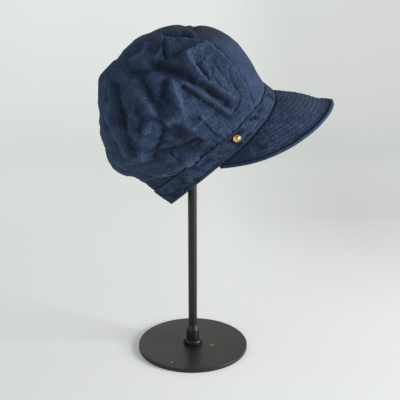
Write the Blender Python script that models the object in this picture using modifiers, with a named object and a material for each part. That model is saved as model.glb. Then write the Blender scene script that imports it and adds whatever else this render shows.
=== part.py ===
"""Baggy cloth sun hat with a stitched peak, resting tilted on a plain round display stand.

Units are metres and +Z is up. The origin is the middle of the underside of the stand's base.
The peak points towards +X, and the wearer's right side faces -Y.
Hat directions are along, the way the wearer looks, across, the wearer's left, and up, out of the crown.
"""
import math
from collections import namedtuple

import bmesh
import bpy
from mathutils import Vector
from mathutils.bvhtree import BVHTree

# Hat opening and band
HAT_TILT = math.radians(49.2)
HAT_FORWARD = 0.0381
OPENING_REACH = 0.100
OPENING_HALF_WIDTH = 0.081
OPENING_EGG = 0.25
BAND_FRONT_HEIGHT = 0.016
BAND_BACK_HEIGHT = 0.029
BAND_WAVE = 0.005
BAND_WALL = 0.0016

# Crown
CROWN_REACH = 0.114
CROWN_RISE = 0.160
CROWN_TOP = BAND_FRONT_HEIGHT + CROWN_RISE
CROWN_HALF_WIDTH = 0.104
CROWN_WALL = 0.0012
CROWN_BOXINESS = 2.25
STRIP_BAND_HALF_WIDTH = 0.070
STRIP_TOP_HALF_WIDTH = 0.051
SEAM_GAP = 0.0004
FOLD_DEPTH = 0.010
FOLD_WIDTH = 0.010

# Peak
PEAK_LENGTH = 0.0768
PEAK_EAR_LENGTH = 0.003
PEAK_EAR_TURN = math.radians(94.0)
PEAK_FLARE = math.radians(28.7)
PEAK_SIDE_FLARE = math.radians(20.6)
PEAK_FULLNESS = 1.5
PEAK_EDGE_LIFT = 0.0014
PEAK_WALL = 0.0022

# Stud on the band
STUD_RADIUS = 0.0047
STUD_HEIGHT = 0.0026
STUD_EDGE = 0.0010
STUD_TURN = math.radians(-70.0)
STUD_UP = 0.0084

# Stand
BASE_RADIUS = 0.0765
BASE_THICKNESS = 0.0055
FLANGE_RADIUS = 0.01325
FLANGE_HEIGHT = 0.007
COLLAR_RADIUS = 0.0090
COLLAR_HEIGHT = 0.014
CONE_HEIGHT = 0.007
CONE_LIP = 0.0006
POST_RADIUS = 0.0060
HEAD_RADIUS = 0.040
HEAD_TOP_RADIUS = 0.060
HEAD_RIM = 0.006
STAND_HEIGHT = 0.4430
EDGE_ROUND = 0.0012
FLANGE_ROUND = 0.0024

# Clearances between neighbours
SEAT_GAP = 0.0003
HAT_CLEARANCE = 0.0004

# Mesh fineness
AROUND = 76
CROWN_LEVELS = 25
PEAK_COLUMNS = 40
PEAK_ROWS = 4
STUD_SIDES = 16
BASE_SIDES = 48
FITTING_SIDES = 28
POST_SIDES = 24
DOME_STEPS = 4
EDGE_STEPS = 3
HEAD_STEPS = 6
FOLD_RUNS = 6

# Step that a surface's direction is measured over, distance that joins corners, fade of the band
# edge's wave up the crown, and least upright share of a face's direction that counts for seating
STEP = 0.01
JOIN_DISTANCE = 0.00001
WAVE_FADE = 6
LEAST_UPRIGHT = 0.1

# Plain colours
CLOTH_COLOUR = (0.020, 0.032, 0.085)
QUILT_COLOUR = (0.022, 0.034, 0.090)
GOLD_COLOUR = (0.72, 0.50, 0.18)
BLACK_COLOUR = (0.018, 0.017, 0.017)

# Tilted rings of the crown, from the band's seam to the top.
# Along is a share of CROWN_REACH, rise of CROWN_RISE above the seam, and half width of CROWN_HALF_WIDTH.
Ring = namedtuple("Ring", "front_along front_rise back_along back_rise half_width egg")
CROWN_RINGS = (
    Ring(0.868, 0.000, -0.886, 0.000, 0.798, 0.22),
    Ring(0.904, 0.087, -0.877, 0.106, 0.885, 0.15),
    Ring(0.956, 0.188, -0.895, 0.225, 0.942, 0.09),
    Ring(0.991, 0.312, -0.956, 0.338, 0.981, 0.04),
    Ring(0.991, 0.450, -0.921, 0.444, 1.000, 0.00),
    Ring(0.939, 0.588, -0.833, 0.544, 0.971, 0.00),
    Ring(0.833, 0.706, -0.702, 0.675, 0.894, 0.00),
    Ring(0.711, 0.831, -0.526, 0.787, 0.760, 0.00),
    Ring(0.526, 0.922, -0.351, 0.900, 0.548, 0.00),
    Ring(0.307, 0.975, -0.219, 0.950, 0.298, 0.00),
    Ring(0.044, 1.000, 0.044, 0.919, 0.000, 0.00),
)

# Folds and dents of the crown, drawn as curves in the side view.
# Side is -1 for the wearer's right and 1 for the left; along is a share of CROWN_REACH, and up of CROWN_TOP.
# Width is a share of FOLD_WIDTH, and rise of FOLD_DEPTH, negative for a valley.
Fold = namedtuple("Fold", "side start_along start_up bend_along bend_up end_along end_up width rise")
CROWN_FOLDS = (
    Fold(-1, 0.31, 0.78, 0.58, 0.51, 0.52, 0.25, 0.75, -0.90),
    Fold(-1, 0.37, 0.52, 0.42, 0.37, 0.43, 0.18, 0.60, -0.60),
    Fold(-1, 0.36, 0.64, 0.50, 0.43, 0.47, 0.23, 0.60, 0.45),
    Fold(-1, 0.34, 0.62, 0.29, 0.53, 0.05, 0.36, 0.65, 0.55),
    Fold(-1, 0.22, 0.69, 0.08, 0.64, -0.02, 0.58, 1.00, -0.50),
    Fold(-1, 0.04, 0.89, 0.04, 0.70, -0.15, 0.56, 0.60, 0.50),
    Fold(-1, -0.22, 0.38, -0.10, 0.36, 0.03, 0.33, 1.20, -0.60),
    Fold(-1, -0.10, 0.92, -0.28, 0.80, -0.46, 0.57, 0.75, -0.50),
    Fold(-1, -0.14, 0.97, -0.46, 0.80, -0.67, 0.48, 0.65, 0.35),
    Fold(-1, 0.61, 0.86, 0.54, 0.82, 0.46, 0.77, 0.55, -0.45),
    Fold(-1, -0.76, 0.39, -0.46, 0.32, -0.18, 0.20, 0.80, 0.55),
    Fold(-1, 0.73, 0.39, 0.72, 0.27, 0.66, 0.16, 0.55, -0.30),
    Fold(1, 0.40, 0.76, 0.52, 0.51, 0.46, 0.29, 0.75, -0.70),
    Fold(1, 0.22, 0.82, 0.14, 0.59, -0.06, 0.41, 0.80, -0.55),
    Fold(1, 0.34, 0.65, 0.28, 0.47, 0.18, 0.29, 0.65, 0.50),
    Fold(1, -0.16, 0.80, -0.34, 0.63, -0.38, 0.39, 0.85, -0.50),
    Fold(1, -0.02, 0.86, -0.12, 0.68, -0.22, 0.53, 0.60, 0.45),
    Fold(1, -0.16, 0.39, -0.28, 0.35, -0.36, 0.27, 1.10, -0.50),
    Fold(1, -0.74, 0.39, -0.44, 0.31, -0.16, 0.20, 0.80, 0.55),
    Fold(1, -0.62, 0.72, -0.62, 0.53, -0.72, 0.41, 0.75, -0.40),
)


def mix(start, end, share):
    """Value between start and end."""
    return start + (end - start) * share


def catmull_rom(before, start, end, after, t):
    """Smooth value between start and end."""
    return 0.5 * (2 * start + (end - before) * t
                  + (2 * before - 5 * start + 4 * end - after) * t ** 2
                  + (3 * (start - end) + after - before) * t ** 3)


def ring_at(rise):
    """Ring of the crown on a smooth curve through the table; rise runs from 0 to 1."""
    last = len(CROWN_RINGS) - 1
    index = min(int(rise * last), last - 1)
    share = rise * last - index
    rows = [CROWN_RINGS[max(0, min(last, index + step))] for step in (-1, 0, 1, 2)]
    return Ring(*(catmull_rom(*values, share) for values in zip(*rows)))


def oval(turn, egg, boxiness):
    """Along and across shares of a slightly boxy oval, blunter in front when egg is positive."""
    along, across = math.cos(turn), math.sin(turn)
    size = (abs(along) ** boxiness + abs(across) ** boxiness) ** (-1 / boxiness)
    return along * size, across * size * (1 + egg * along)


def edge_wave(turn):
    """How far the band's edge dips beside the front, and rises beside the back."""
    return -BAND_WAVE * math.sin(2 * abs(turn))


def crown_base_point(turn, rise):
    """Point of the unfolded crown, in hat directions."""
    ring = ring_at(rise)
    along, across = oval(turn, ring.egg, CROWN_BOXINESS)
    forward = (1 + along) / 2
    seam = mix(BAND_BACK_HEIGHT, BAND_FRONT_HEIGHT, forward) + edge_wave(turn) * (1 - rise) ** WAVE_FADE
    return Vector((
        CROWN_REACH * mix(ring.back_along, ring.front_along, forward),
        CROWN_HALF_WIDTH * ring.half_width * across,
        seam + CROWN_RISE * mix(ring.back_rise, ring.front_rise, forward),
    ))


def fold_curve(fold):
    """Short straight runs along a fold's curve, as pairs of side view points."""
    places = []
    for step in range(FOLD_RUNS + 1):
        t = step / FOLD_RUNS
        shares = ((1 - t) ** 2, 2 * t * (1 - t), t ** 2)
        along = sum(s * v for s, v in zip(shares, (fold.start_along, fold.bend_along, fold.end_along)))
        up = sum(s * v for s, v in zip(shares, (fold.start_up, fold.bend_up, fold.end_up)))
        places.append(Vector((along * CROWN_REACH, up * CROWN_TOP)))
    return list(zip(places, places[1:]))


def distance_to_run(place, start, end):
    """Distance from a side view place to a straight run."""
    run = end - start
    share = max(0.0, min(1.0, (place - start).dot(run) / max(run.length_squared, 1e-12)))
    return (place - start - run * share).length


def fold_rise(point, curves):
    """How far the folds push a crown point out, or pull it in."""
    fade = min(1.0, abs(point.y) / STRIP_TOP_HALF_WIDTH)
    total = 0.0
    for fold, runs in curves:
        if fold.side * point.y <= 0:
            continue
        away = min(distance_to_run(Vector((point.x, point.z)), *run) for run in runs)
        total += fold.rise * FOLD_DEPTH * math.exp(-(away / (fold.width * FOLD_WIDTH)) ** 2)
    return total * fade ** 2 * (3 - 2 * fade)


def outward_at(place_point, turn, rise):
    """Outward direction of a surface that is placed by its turn and rise."""
    inner = min(max(rise, STEP), 1 - STEP)
    sideways = place_point(turn + STEP, inner) - place_point(turn - STEP, inner)
    upwards = place_point(turn, inner + STEP) - place_point(turn, inner - STEP)
    return sideways.cross(upwards).normalized()


def crown_point(turn, rise, curves):
    """Point of the crown's outer face with its folds, which fade out at the band's seam."""
    point = crown_base_point(turn, rise)
    seam_fade = min(1.0, rise * CROWN_LEVELS / 2)
    return point + outward_at(crown_base_point, turn, rise) * fold_rise(point, curves) * seam_fade


def band_point(turn, rise):
    """Point of the band's outer face, between its lower edge and the crown's seam."""
    along, across = oval(turn, OPENING_EGG, CROWN_BOXINESS)
    low = Vector((along * OPENING_REACH, across * OPENING_HALF_WIDTH, edge_wave(turn)))
    return low.lerp(crown_base_point(turn, 0.0) - Vector((0, 0, SEAT_GAP)), rise)


def peak_point(across_share, out_share):
    """Point of the peak's upper face; across runs from -1 to 1 and out from the root to the edge."""
    turn = across_share * PEAK_EAR_TURN
    root = band_point(turn, 0.0) - Vector((0, 0, SEAT_GAP))
    outward = (band_point(turn + STEP, 0.0) - band_point(turn - STEP, 0.0)).cross(Vector((0, 0, 1)))
    outward.normalize()
    fullness = 1 - abs(across_share) ** PEAK_FULLNESS
    length = mix(PEAK_EAR_LENGTH, PEAK_LENGTH, fullness)
    flare = mix(PEAK_FLARE, PEAK_SIDE_FLARE, abs(across_share))
    direction = outward * math.sin(flare) - Vector((0, 0, math.cos(flare)))
    lift = outward * math.cos(flare) + Vector((0, 0, math.sin(flare)))
    return root + direction * length * out_share + lift * PEAK_EDGE_LIFT * fullness * out_share ** 4


def object_in(collection, name, mesh, place=None):
    """New object of the hat or stand, under the hat's place when one is given."""
    made = bpy.data.objects.new(name, mesh)
    collection.objects.link(made)
    made.parent = place
    return made


def surface(name, columns, rows, place_vertex, join_ends):
    """Mesh grid whose corners are placed by a function of two shares from 0 to 1."""
    mesh = bpy.data.meshes.new(name)
    grid = bmesh.new()
    bmesh.ops.create_grid(grid, x_segments=columns, y_segments=rows, size=0.5)
    for vertex in grid.verts:
        vertex.co = place_vertex(vertex.co.x + 0.5, vertex.co.y + 0.5)
    if join_ends:
        bmesh.ops.remove_doubles(grid, verts=grid.verts, dist=JOIN_DISTANCE)
    grid.to_mesh(mesh)
    grid.free()
    mesh.shade_smooth()
    return mesh


def wall(target, thickness):
    """Give an open surface its thickness, inwards from its outer face."""
    shell = target.modifiers.new("wall", "SOLIDIFY")
    shell.thickness = thickness
    shell.offset = -1.0
    shell.use_even_offset = True


def paint(target, colour, roughness, metallic=0.0):
    """Give an object its own Principled material."""
    material = bpy.data.materials.new(target.name)
    material.use_nodes = True
    shader = material.node_tree.nodes["Principled BSDF"]
    shader.inputs["Base Color"].default_value = (*colour, 1.0)
    shader.inputs["Roughness"].default_value = roughness
    shader.inputs["Metallic"].default_value = metallic
    target.data.materials.append(material)


def turned(collection, name, profile, steps, place=None):
    """Solid turned round Z from a profile of radius and height, given from the top down, axis to axis."""
    mesh = bpy.data.meshes.new(name)
    line = bmesh.new()
    corners = [line.verts.new((radius, 0.0, height)) for radius, height in profile]
    for upper, lower in zip(corners, corners[1:]):
        line.edges.new((upper, lower))
    line.to_mesh(mesh)
    line.free()
    made = object_in(collection, name, mesh, place)
    screw = made.modifiers.new("turn", "SCREW")
    screw.steps = steps
    screw.render_steps = steps
    screw.use_merge_vertices = True
    screw.merge_threshold = JOIN_DISTANCE
    screw.use_smooth_shade = True
    return made


def seam_guide(collection, name, side, inset, place):
    """Large box whose inner face lies on a side seam's leaning plane, moved outwards by inset."""
    lean = math.atan2(STRIP_BAND_HALF_WIDTH - STRIP_TOP_HALF_WIDTH, CROWN_TOP)
    size = 4 * CROWN_REACH
    mesh = bpy.data.meshes.new(name)
    box = bmesh.new()
    bmesh.ops.create_cube(box, size=size)
    for vertex in box.verts:
        vertex.co.y += side * (size / 2 + STRIP_BAND_HALF_WIDTH * math.cos(lean) + inset)
    box.to_mesh(mesh)
    box.free()
    guide = object_in(collection, name, mesh, place)
    guide.rotation_euler.x = side * lean
    guide.hide_render = True
    guide.display_type = "WIRE"
    return guide


def cut(target, guide, operation):
    """Cut a panel of the crown with a seam guide."""
    boolean = target.modifiers.new("seam", "BOOLEAN")
    boolean.object = guide
    boolean.operation = operation
    boolean.solver = "EXACT"


def make_crown(collection, guides, place):
    """The three sewn panels of the crown, as walls of cloth with a fine gap at each seam."""
    curves = [(fold, fold_curve(fold)) for fold in CROWN_FOLDS]
    outer = surface("crown", AROUND, CROWN_LEVELS,
                    lambda u, v: crown_point(2 * math.pi * (u - 0.5), v, curves), True)
    panels = []
    for name, side in (("crown_side_right", -1), ("crown_side_left", 1), ("crown_centre_panel", 0)):
        panel = object_in(collection, name, outer.copy(), place)
        wall(panel, CROWN_WALL)
        if side:
            cut(panel, seam_guide(guides, name + "_guide", side, SEAM_GAP, place), "INTERSECT")
        else:
            for each in (-1, 1):
                cut(panel, seam_guide(guides, f"strip_guide_{each}", each, 0.0, place), "DIFFERENCE")
        paint(panel, CLOTH_COLOUR, 0.85)
        panels.append(panel)
    return panels


def make_band(collection, place):
    """The plain strip round the head."""
    mesh = surface("band", AROUND, 1, lambda u, v: band_point(2 * math.pi * (u - 0.5), v), True)
    band = object_in(collection, "band", mesh, place)
    wall(band, BAND_WALL)
    paint(band, CLOTH_COLOUR, 0.85)
    return band


def make_peak(collection, place):
    """The stitched peak on the front half of the band's lower edge."""
    mesh = surface("peak", PEAK_COLUMNS, PEAK_ROWS, lambda u, v: peak_point(2 * u - 1, 1 - v), False)
    peak = object_in(collection, "peak", mesh, place)
    wall(peak, PEAK_WALL)
    paint(peak, QUILT_COLOUR, 0.85)
    return peak


def quarter_turn(steps):
    """Outward and upward shares of even steps from straight up down to level."""
    angles = [math.pi / 2 * step / steps for step in range(steps + 1)]
    return [(math.sin(angle), math.cos(angle)) for angle in angles]


def make_stud(collection, place):
    """Plain domed stud on the band's right side."""
    low, high = band_point(STUD_TURN, 0.0), band_point(STUD_TURN, 1.0)
    share = (STUD_UP - low.z) / (high.z - low.z)
    seat = low.lerp(high, share)
    outward = outward_at(band_point, STUD_TURN, share)
    profile = [(STUD_RADIUS * out, mix(STUD_EDGE, STUD_HEIGHT, up)) for out, up in quarter_turn(DOME_STEPS)]
    stud = turned(collection, "stud", profile + [(STUD_RADIUS, 0.0), (0.0, 0.0)], STUD_SIDES, place)
    stud.location = seat + outward * SEAT_GAP
    stud.rotation_euler = outward.to_track_quat("Z", "Y").to_euler()
    paint(stud, GOLD_COLOUR, 0.35, 1.0)
    return stud


def rounded_disc(radius, bottom, top, rounding):
    """Profile of a disc with a rounded upper edge, from the top down."""
    inner, low = radius - rounding, top - rounding
    edge = [(inner + rounding * out, low + rounding * up) for out, up in quarter_turn(EDGE_STEPS)]
    return [(0.0, top)] + edge + [(radius, bottom), (0.0, bottom)]


def collar_profile(bottom):
    """Profile of the collar and the cone that narrows to the post, from the top down."""
    shoulder = bottom + COLLAR_HEIGHT
    return [
        (0.0, shoulder + CONE_HEIGHT),
        (POST_RADIUS + CONE_LIP, shoulder + CONE_HEIGHT),
        (COLLAR_RADIUS, shoulder),
        (COLLAR_RADIUS, bottom),
        (0.0, bottom),
    ]


def head_profile():
    """Profile of the domed head that carries the hat, from the top down, and the height of its underside."""
    slope = math.asin(HEAD_RADIUS / HEAD_TOP_RADIUS)
    dome = []
    for step in range(HEAD_STEPS + 1):
        angle = slope * step / HEAD_STEPS
        drop = HEAD_TOP_RADIUS * (1 - math.cos(angle))
        dome.append((HEAD_TOP_RADIUS * math.sin(angle), STAND_HEIGHT - drop))
    underside = dome[-1][1] - HEAD_RIM
    return dome + [(HEAD_RADIUS, underside), (0.0, underside)], underside


def make_stand(collection):
    """Round base, flange, collar with its cone, post and the hidden head."""
    base = turned(collection, "stand_base",
                  rounded_disc(BASE_RADIUS, 0.0, BASE_THICKNESS, EDGE_ROUND), BASE_SIDES)
    flange_bottom = BASE_THICKNESS + SEAT_GAP
    flange_top = flange_bottom + FLANGE_HEIGHT
    flange = turned(collection, "stand_flange",
                    rounded_disc(FLANGE_RADIUS, flange_bottom, flange_top, FLANGE_ROUND), FITTING_SIDES)
    collar_bottom = flange_top + SEAT_GAP
    collar = turned(collection, "stand_collar", collar_profile(collar_bottom), FITTING_SIDES)
    profile, underside = head_profile()
    head = turned(collection, "stand_head", profile, FITTING_SIDES)
    post_bottom = collar_bottom + COLLAR_HEIGHT + CONE_HEIGHT + SEAT_GAP
    post_top = underside - SEAT_GAP
    rod = [(0.0, post_top), (POST_RADIUS, post_top), (POST_RADIUS, post_bottom), (0.0, post_bottom)]
    post = turned(collection, "stand_post", rod, POST_SIDES)
    for piece in (base, flange, collar, head, post):
        paint(piece, BLACK_COLOUR, 0.42, 0.6)
    return head


def upright_gaps(dome, ceiling):
    """Upright distances from the dome up to the cloth, measured from the corners of both."""
    up = Vector((0, 0, 1))
    for corner in dome[0]:
        hit = ceiling[1].ray_cast(corner, up)[0]
        if hit:
            yield hit.z - corner.z
    for corner in ceiling[0]:
        hit = dome[1].ray_cast(corner, -up)[0]
        if hit:
            yield corner.z - hit.z


def world_faces(target, keep):
    """World corners and face tree of an object, of the faces that keep accepts."""
    graph = bpy.context.evaluated_depsgraph_get()
    mesh = target.evaluated_get(graph).to_mesh()
    matrix = target.matrix_world
    corners = [matrix @ vertex.co for vertex in mesh.vertices]
    faces = [tuple(face.vertices) for face in mesh.polygons if keep(matrix.to_3x3() @ face.normal)]
    used = sorted({corner for face in faces for corner in face})
    return [corners[corner] for corner in used], BVHTree.FromPolygons(corners, faces)


def seat_hat(place, panels, head):
    """Lower the hat until the inside of its crown rests on the stand's head."""
    bpy.context.view_layer.update()
    dome = world_faces(head, lambda normal: normal.z > LEAST_UPRIGHT)
    ceilings = [world_faces(panel, lambda normal: normal.z < -LEAST_UPRIGHT) for panel in panels]
    gap = min(gap for ceiling in ceilings for gap in upright_gaps(dome, ceiling))
    place.location.z -= gap - HAT_CLEARANCE
    bpy.context.view_layer.update()


def main():
    for old in list(bpy.data.objects):
        bpy.data.objects.remove(old, do_unlink=True)
    hat_on_stand = bpy.data.collections.new("sun_hat_on_stand")
    guides = bpy.data.collections.new("guides")
    for each in (hat_on_stand, guides):
        bpy.context.scene.collection.children.link(each)
    place = object_in(hat_on_stand, "hat_place", None)
    place.rotation_euler.y = -HAT_TILT
    place.location = (HAT_FORWARD, 0.0, STAND_HEIGHT)
    panels = make_crown(hat_on_stand, guides, place)
    make_band(hat_on_stand, place)
    make_peak(hat_on_stand, place)
    make_stud(hat_on_stand, place)
    head = make_stand(hat_on_stand)
    seat_hat(place, panels, head)


if __name__ == "__main__":
    main()
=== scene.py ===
import math
from collections import namedtuple

import bmesh
import bpy
import numpy as np
from bpy.props import FloatProperty, FloatVectorProperty, PointerProperty
from mathutils import Matrix, Vector, noise
from mathutils.bvhtree import BVHTree
from mathutils.geometry import delaunay_2d_cdt


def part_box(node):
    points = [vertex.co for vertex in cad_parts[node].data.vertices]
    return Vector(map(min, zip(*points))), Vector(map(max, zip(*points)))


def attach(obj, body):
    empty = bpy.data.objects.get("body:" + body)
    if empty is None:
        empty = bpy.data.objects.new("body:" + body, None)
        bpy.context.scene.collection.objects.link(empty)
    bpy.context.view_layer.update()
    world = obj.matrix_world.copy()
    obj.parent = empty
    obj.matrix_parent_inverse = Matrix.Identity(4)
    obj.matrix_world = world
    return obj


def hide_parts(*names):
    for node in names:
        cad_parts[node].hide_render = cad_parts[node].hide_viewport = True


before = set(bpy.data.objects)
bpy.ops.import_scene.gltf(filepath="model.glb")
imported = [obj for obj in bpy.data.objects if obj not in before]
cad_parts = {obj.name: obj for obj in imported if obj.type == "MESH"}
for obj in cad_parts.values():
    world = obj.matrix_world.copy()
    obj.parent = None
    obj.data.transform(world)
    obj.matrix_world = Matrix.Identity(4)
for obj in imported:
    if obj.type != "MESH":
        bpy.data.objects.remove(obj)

bl_info = {
    "name": "Sun hat on a stand",
    "version": (1, 0, 0),
    "blender": (4, 5, 0),
    "location": "3D View > Sidebar > Sun hat",
    "description": "Dresses a baggy cloth sun hat and its display stand",
    "category": "Object",
}

# Hat directions are along, the way the wearer looks, across, the wearer's left, and up, out of the crown.
HAT_TILT = math.radians(49.2)
OPENING_REACH = 0.100
OPENING_HALF_WIDTH = 0.081
OPENING_EGG = 0.25
BAND_FRONT_HEIGHT = 0.016
BAND_BACK_HEIGHT = 0.029
BAND_WAVE = 0.005
BAND_WALL = 0.0016
CROWN_REACH = 0.114
CROWN_RISE = 0.160
CROWN_TOP = BAND_FRONT_HEIGHT + CROWN_RISE
CROWN_HALF_WIDTH = 0.104
CROWN_WALL = 0.0012
BOXINESS = 2.25
STRIP_BAND_HALF_WIDTH = 0.070
STRIP_TOP_HALF_WIDTH = 0.051
SEAM_LEAN = math.atan2(STRIP_BAND_HALF_WIDTH - STRIP_TOP_HALF_WIDTH, CROWN_TOP)
FOLD_DEPTH = 0.010
FOLD_WIDTH = 0.010
PEAK_LENGTH = 0.0782
PEAK_EAR_LENGTH = 0.003
PEAK_EAR_TURN = math.radians(94.0)
PEAK_FLARE = math.radians(28.7)
PEAK_SIDE_FLARE = math.radians(20.6)
PEAK_FULLNESS = 1.5
PEAK_EDGE_LIFT = 0.0014
PEAK_WALL = 0.0022
PEAK_TUCK = 0.0024
STUD_TURN = math.radians(-70.0)
STUD_UP = 0.0084
SEAT_GAP = 0.0003

# Fineness of the cloth, in faces
CROWN_AROUND = 520
CROWN_LEVELS = 168
BAND_AROUND = 640
BAND_LEVELS = 26
PEAK_COLUMNS = 400
PEAK_ROWS = 92

# Step of turn and of rise over which a surface's directions are measured
STEP = 0.01

# Length of cloth for each unit of the crown's rise
CLOTH_PER_RISE = 1.35
# Height of the bag's lower edge above the seam, beside the head and at the back
BAG_EDGE_BESIDE = 0.0030
BAG_EDGE_BACK = 0.0290
# Folds up to this share of FOLD_WIDTH are single creases, and wider ones meet in facets
THIN_FOLD = 0.27
# Relief of the cloth that changes its tone by 1, painted light on ridges and painted shade in folds
TONE_DEPTH = 0.0022
# Radii round which the band, the peak and the strip are laid out flat
BAND_FLAT_RADIUS = 0.095
PEAK_FLAT_RADIUS = 0.12
PEAK_RELIEF_RADIUS = 0.11
STRIP_FLAT_RADIUS = 0.13
# Heights of the band's lines of stitches above its lower edge
BAND_STITCH_ROWS = (0.0016, 0.0036)

STUD_RADIUS = 0.0047
STUD_RIM_HEIGHT = 0.0010
STUD_DOME_RISE = 0.0016
HEAD_SPHERE_RADIUS = 0.060

# Marks on the base's upper face: their middles and radii, right and away from the post
RUST_MIDDLE = (0.0276, -0.0088)
RUST_RADII = (0.0046, 0.0044)
CHIP_MIDDLE = (-0.0277, -0.0575)
CHIP_RADII = (0.0015, 0.0014)
MARK_TOP = 0.0056

# Camera fitted to the photo, which looks down by 17.25 degrees, and the sweep behind the stand
CAMERA_PLACE = (0.0102, -0.9588, 0.5145)
CAMERA_TILT = math.radians(90 - 17.25)
CAMERA_LENS = 67.5
SENSOR_WIDTH = 36.0
FLOOR_NEAR = -3.0
WALL_FOOT = 1.2
WALL_CURVE = 0.9
WALL_TOP = 3.0
Lamp = namedtuple("Lamp", "name place aim size power colour")
LAMPS = (
    Lamp("key", (1.7, -0.55, 0.62), (0.0, 0.0, 0.30), 0.8, 45.0, (1.0, 0.99, 0.97)),
    Lamp("fill", (-1.5, -1.2, 0.6), (0.0, 0.0, 0.25), 1.2, 7.5, (0.97, 0.99, 1.0)),
    Lamp("wall glow", (-1.0, 0.5, 1.3), (-0.8, 2.1, 0.6), 1.0, 5.0, (0.98, 1.0, 0.98)),
)

# Tilted rings of the crown, from the band's seam to the top.
# Along is a share of CROWN_REACH, rise of CROWN_RISE above the seam, and half width of CROWN_HALF_WIDTH.
Ring = namedtuple("Ring", "front_along front_rise back_along back_rise half_width egg")
CROWN_RINGS = (
    Ring(0.868, 0.000, -0.886, 0.000, 0.798, 0.22),
    Ring(0.904, 0.087, -0.877, 0.106, 0.885, 0.15),
    Ring(0.956, 0.188, -0.895, 0.225, 0.942, 0.09),
    Ring(0.991, 0.312, -0.956, 0.338, 0.981, 0.04),
    Ring(0.991, 0.450, -0.921, 0.444, 1.000, 0.00),
    Ring(0.939, 0.588, -0.833, 0.544, 0.971, 0.00),
    Ring(0.833, 0.706, -0.702, 0.675, 0.894, 0.00),
    Ring(0.711, 0.831, -0.526, 0.787, 0.760, 0.00),
    Ring(0.526, 0.922, -0.351, 0.900, 0.548, 0.00),
    Ring(0.307, 0.975, -0.219, 0.950, 0.298, 0.00),
    Ring(0.044, 1.000, 0.044, 0.919, 0.000, 0.00),
)

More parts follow.
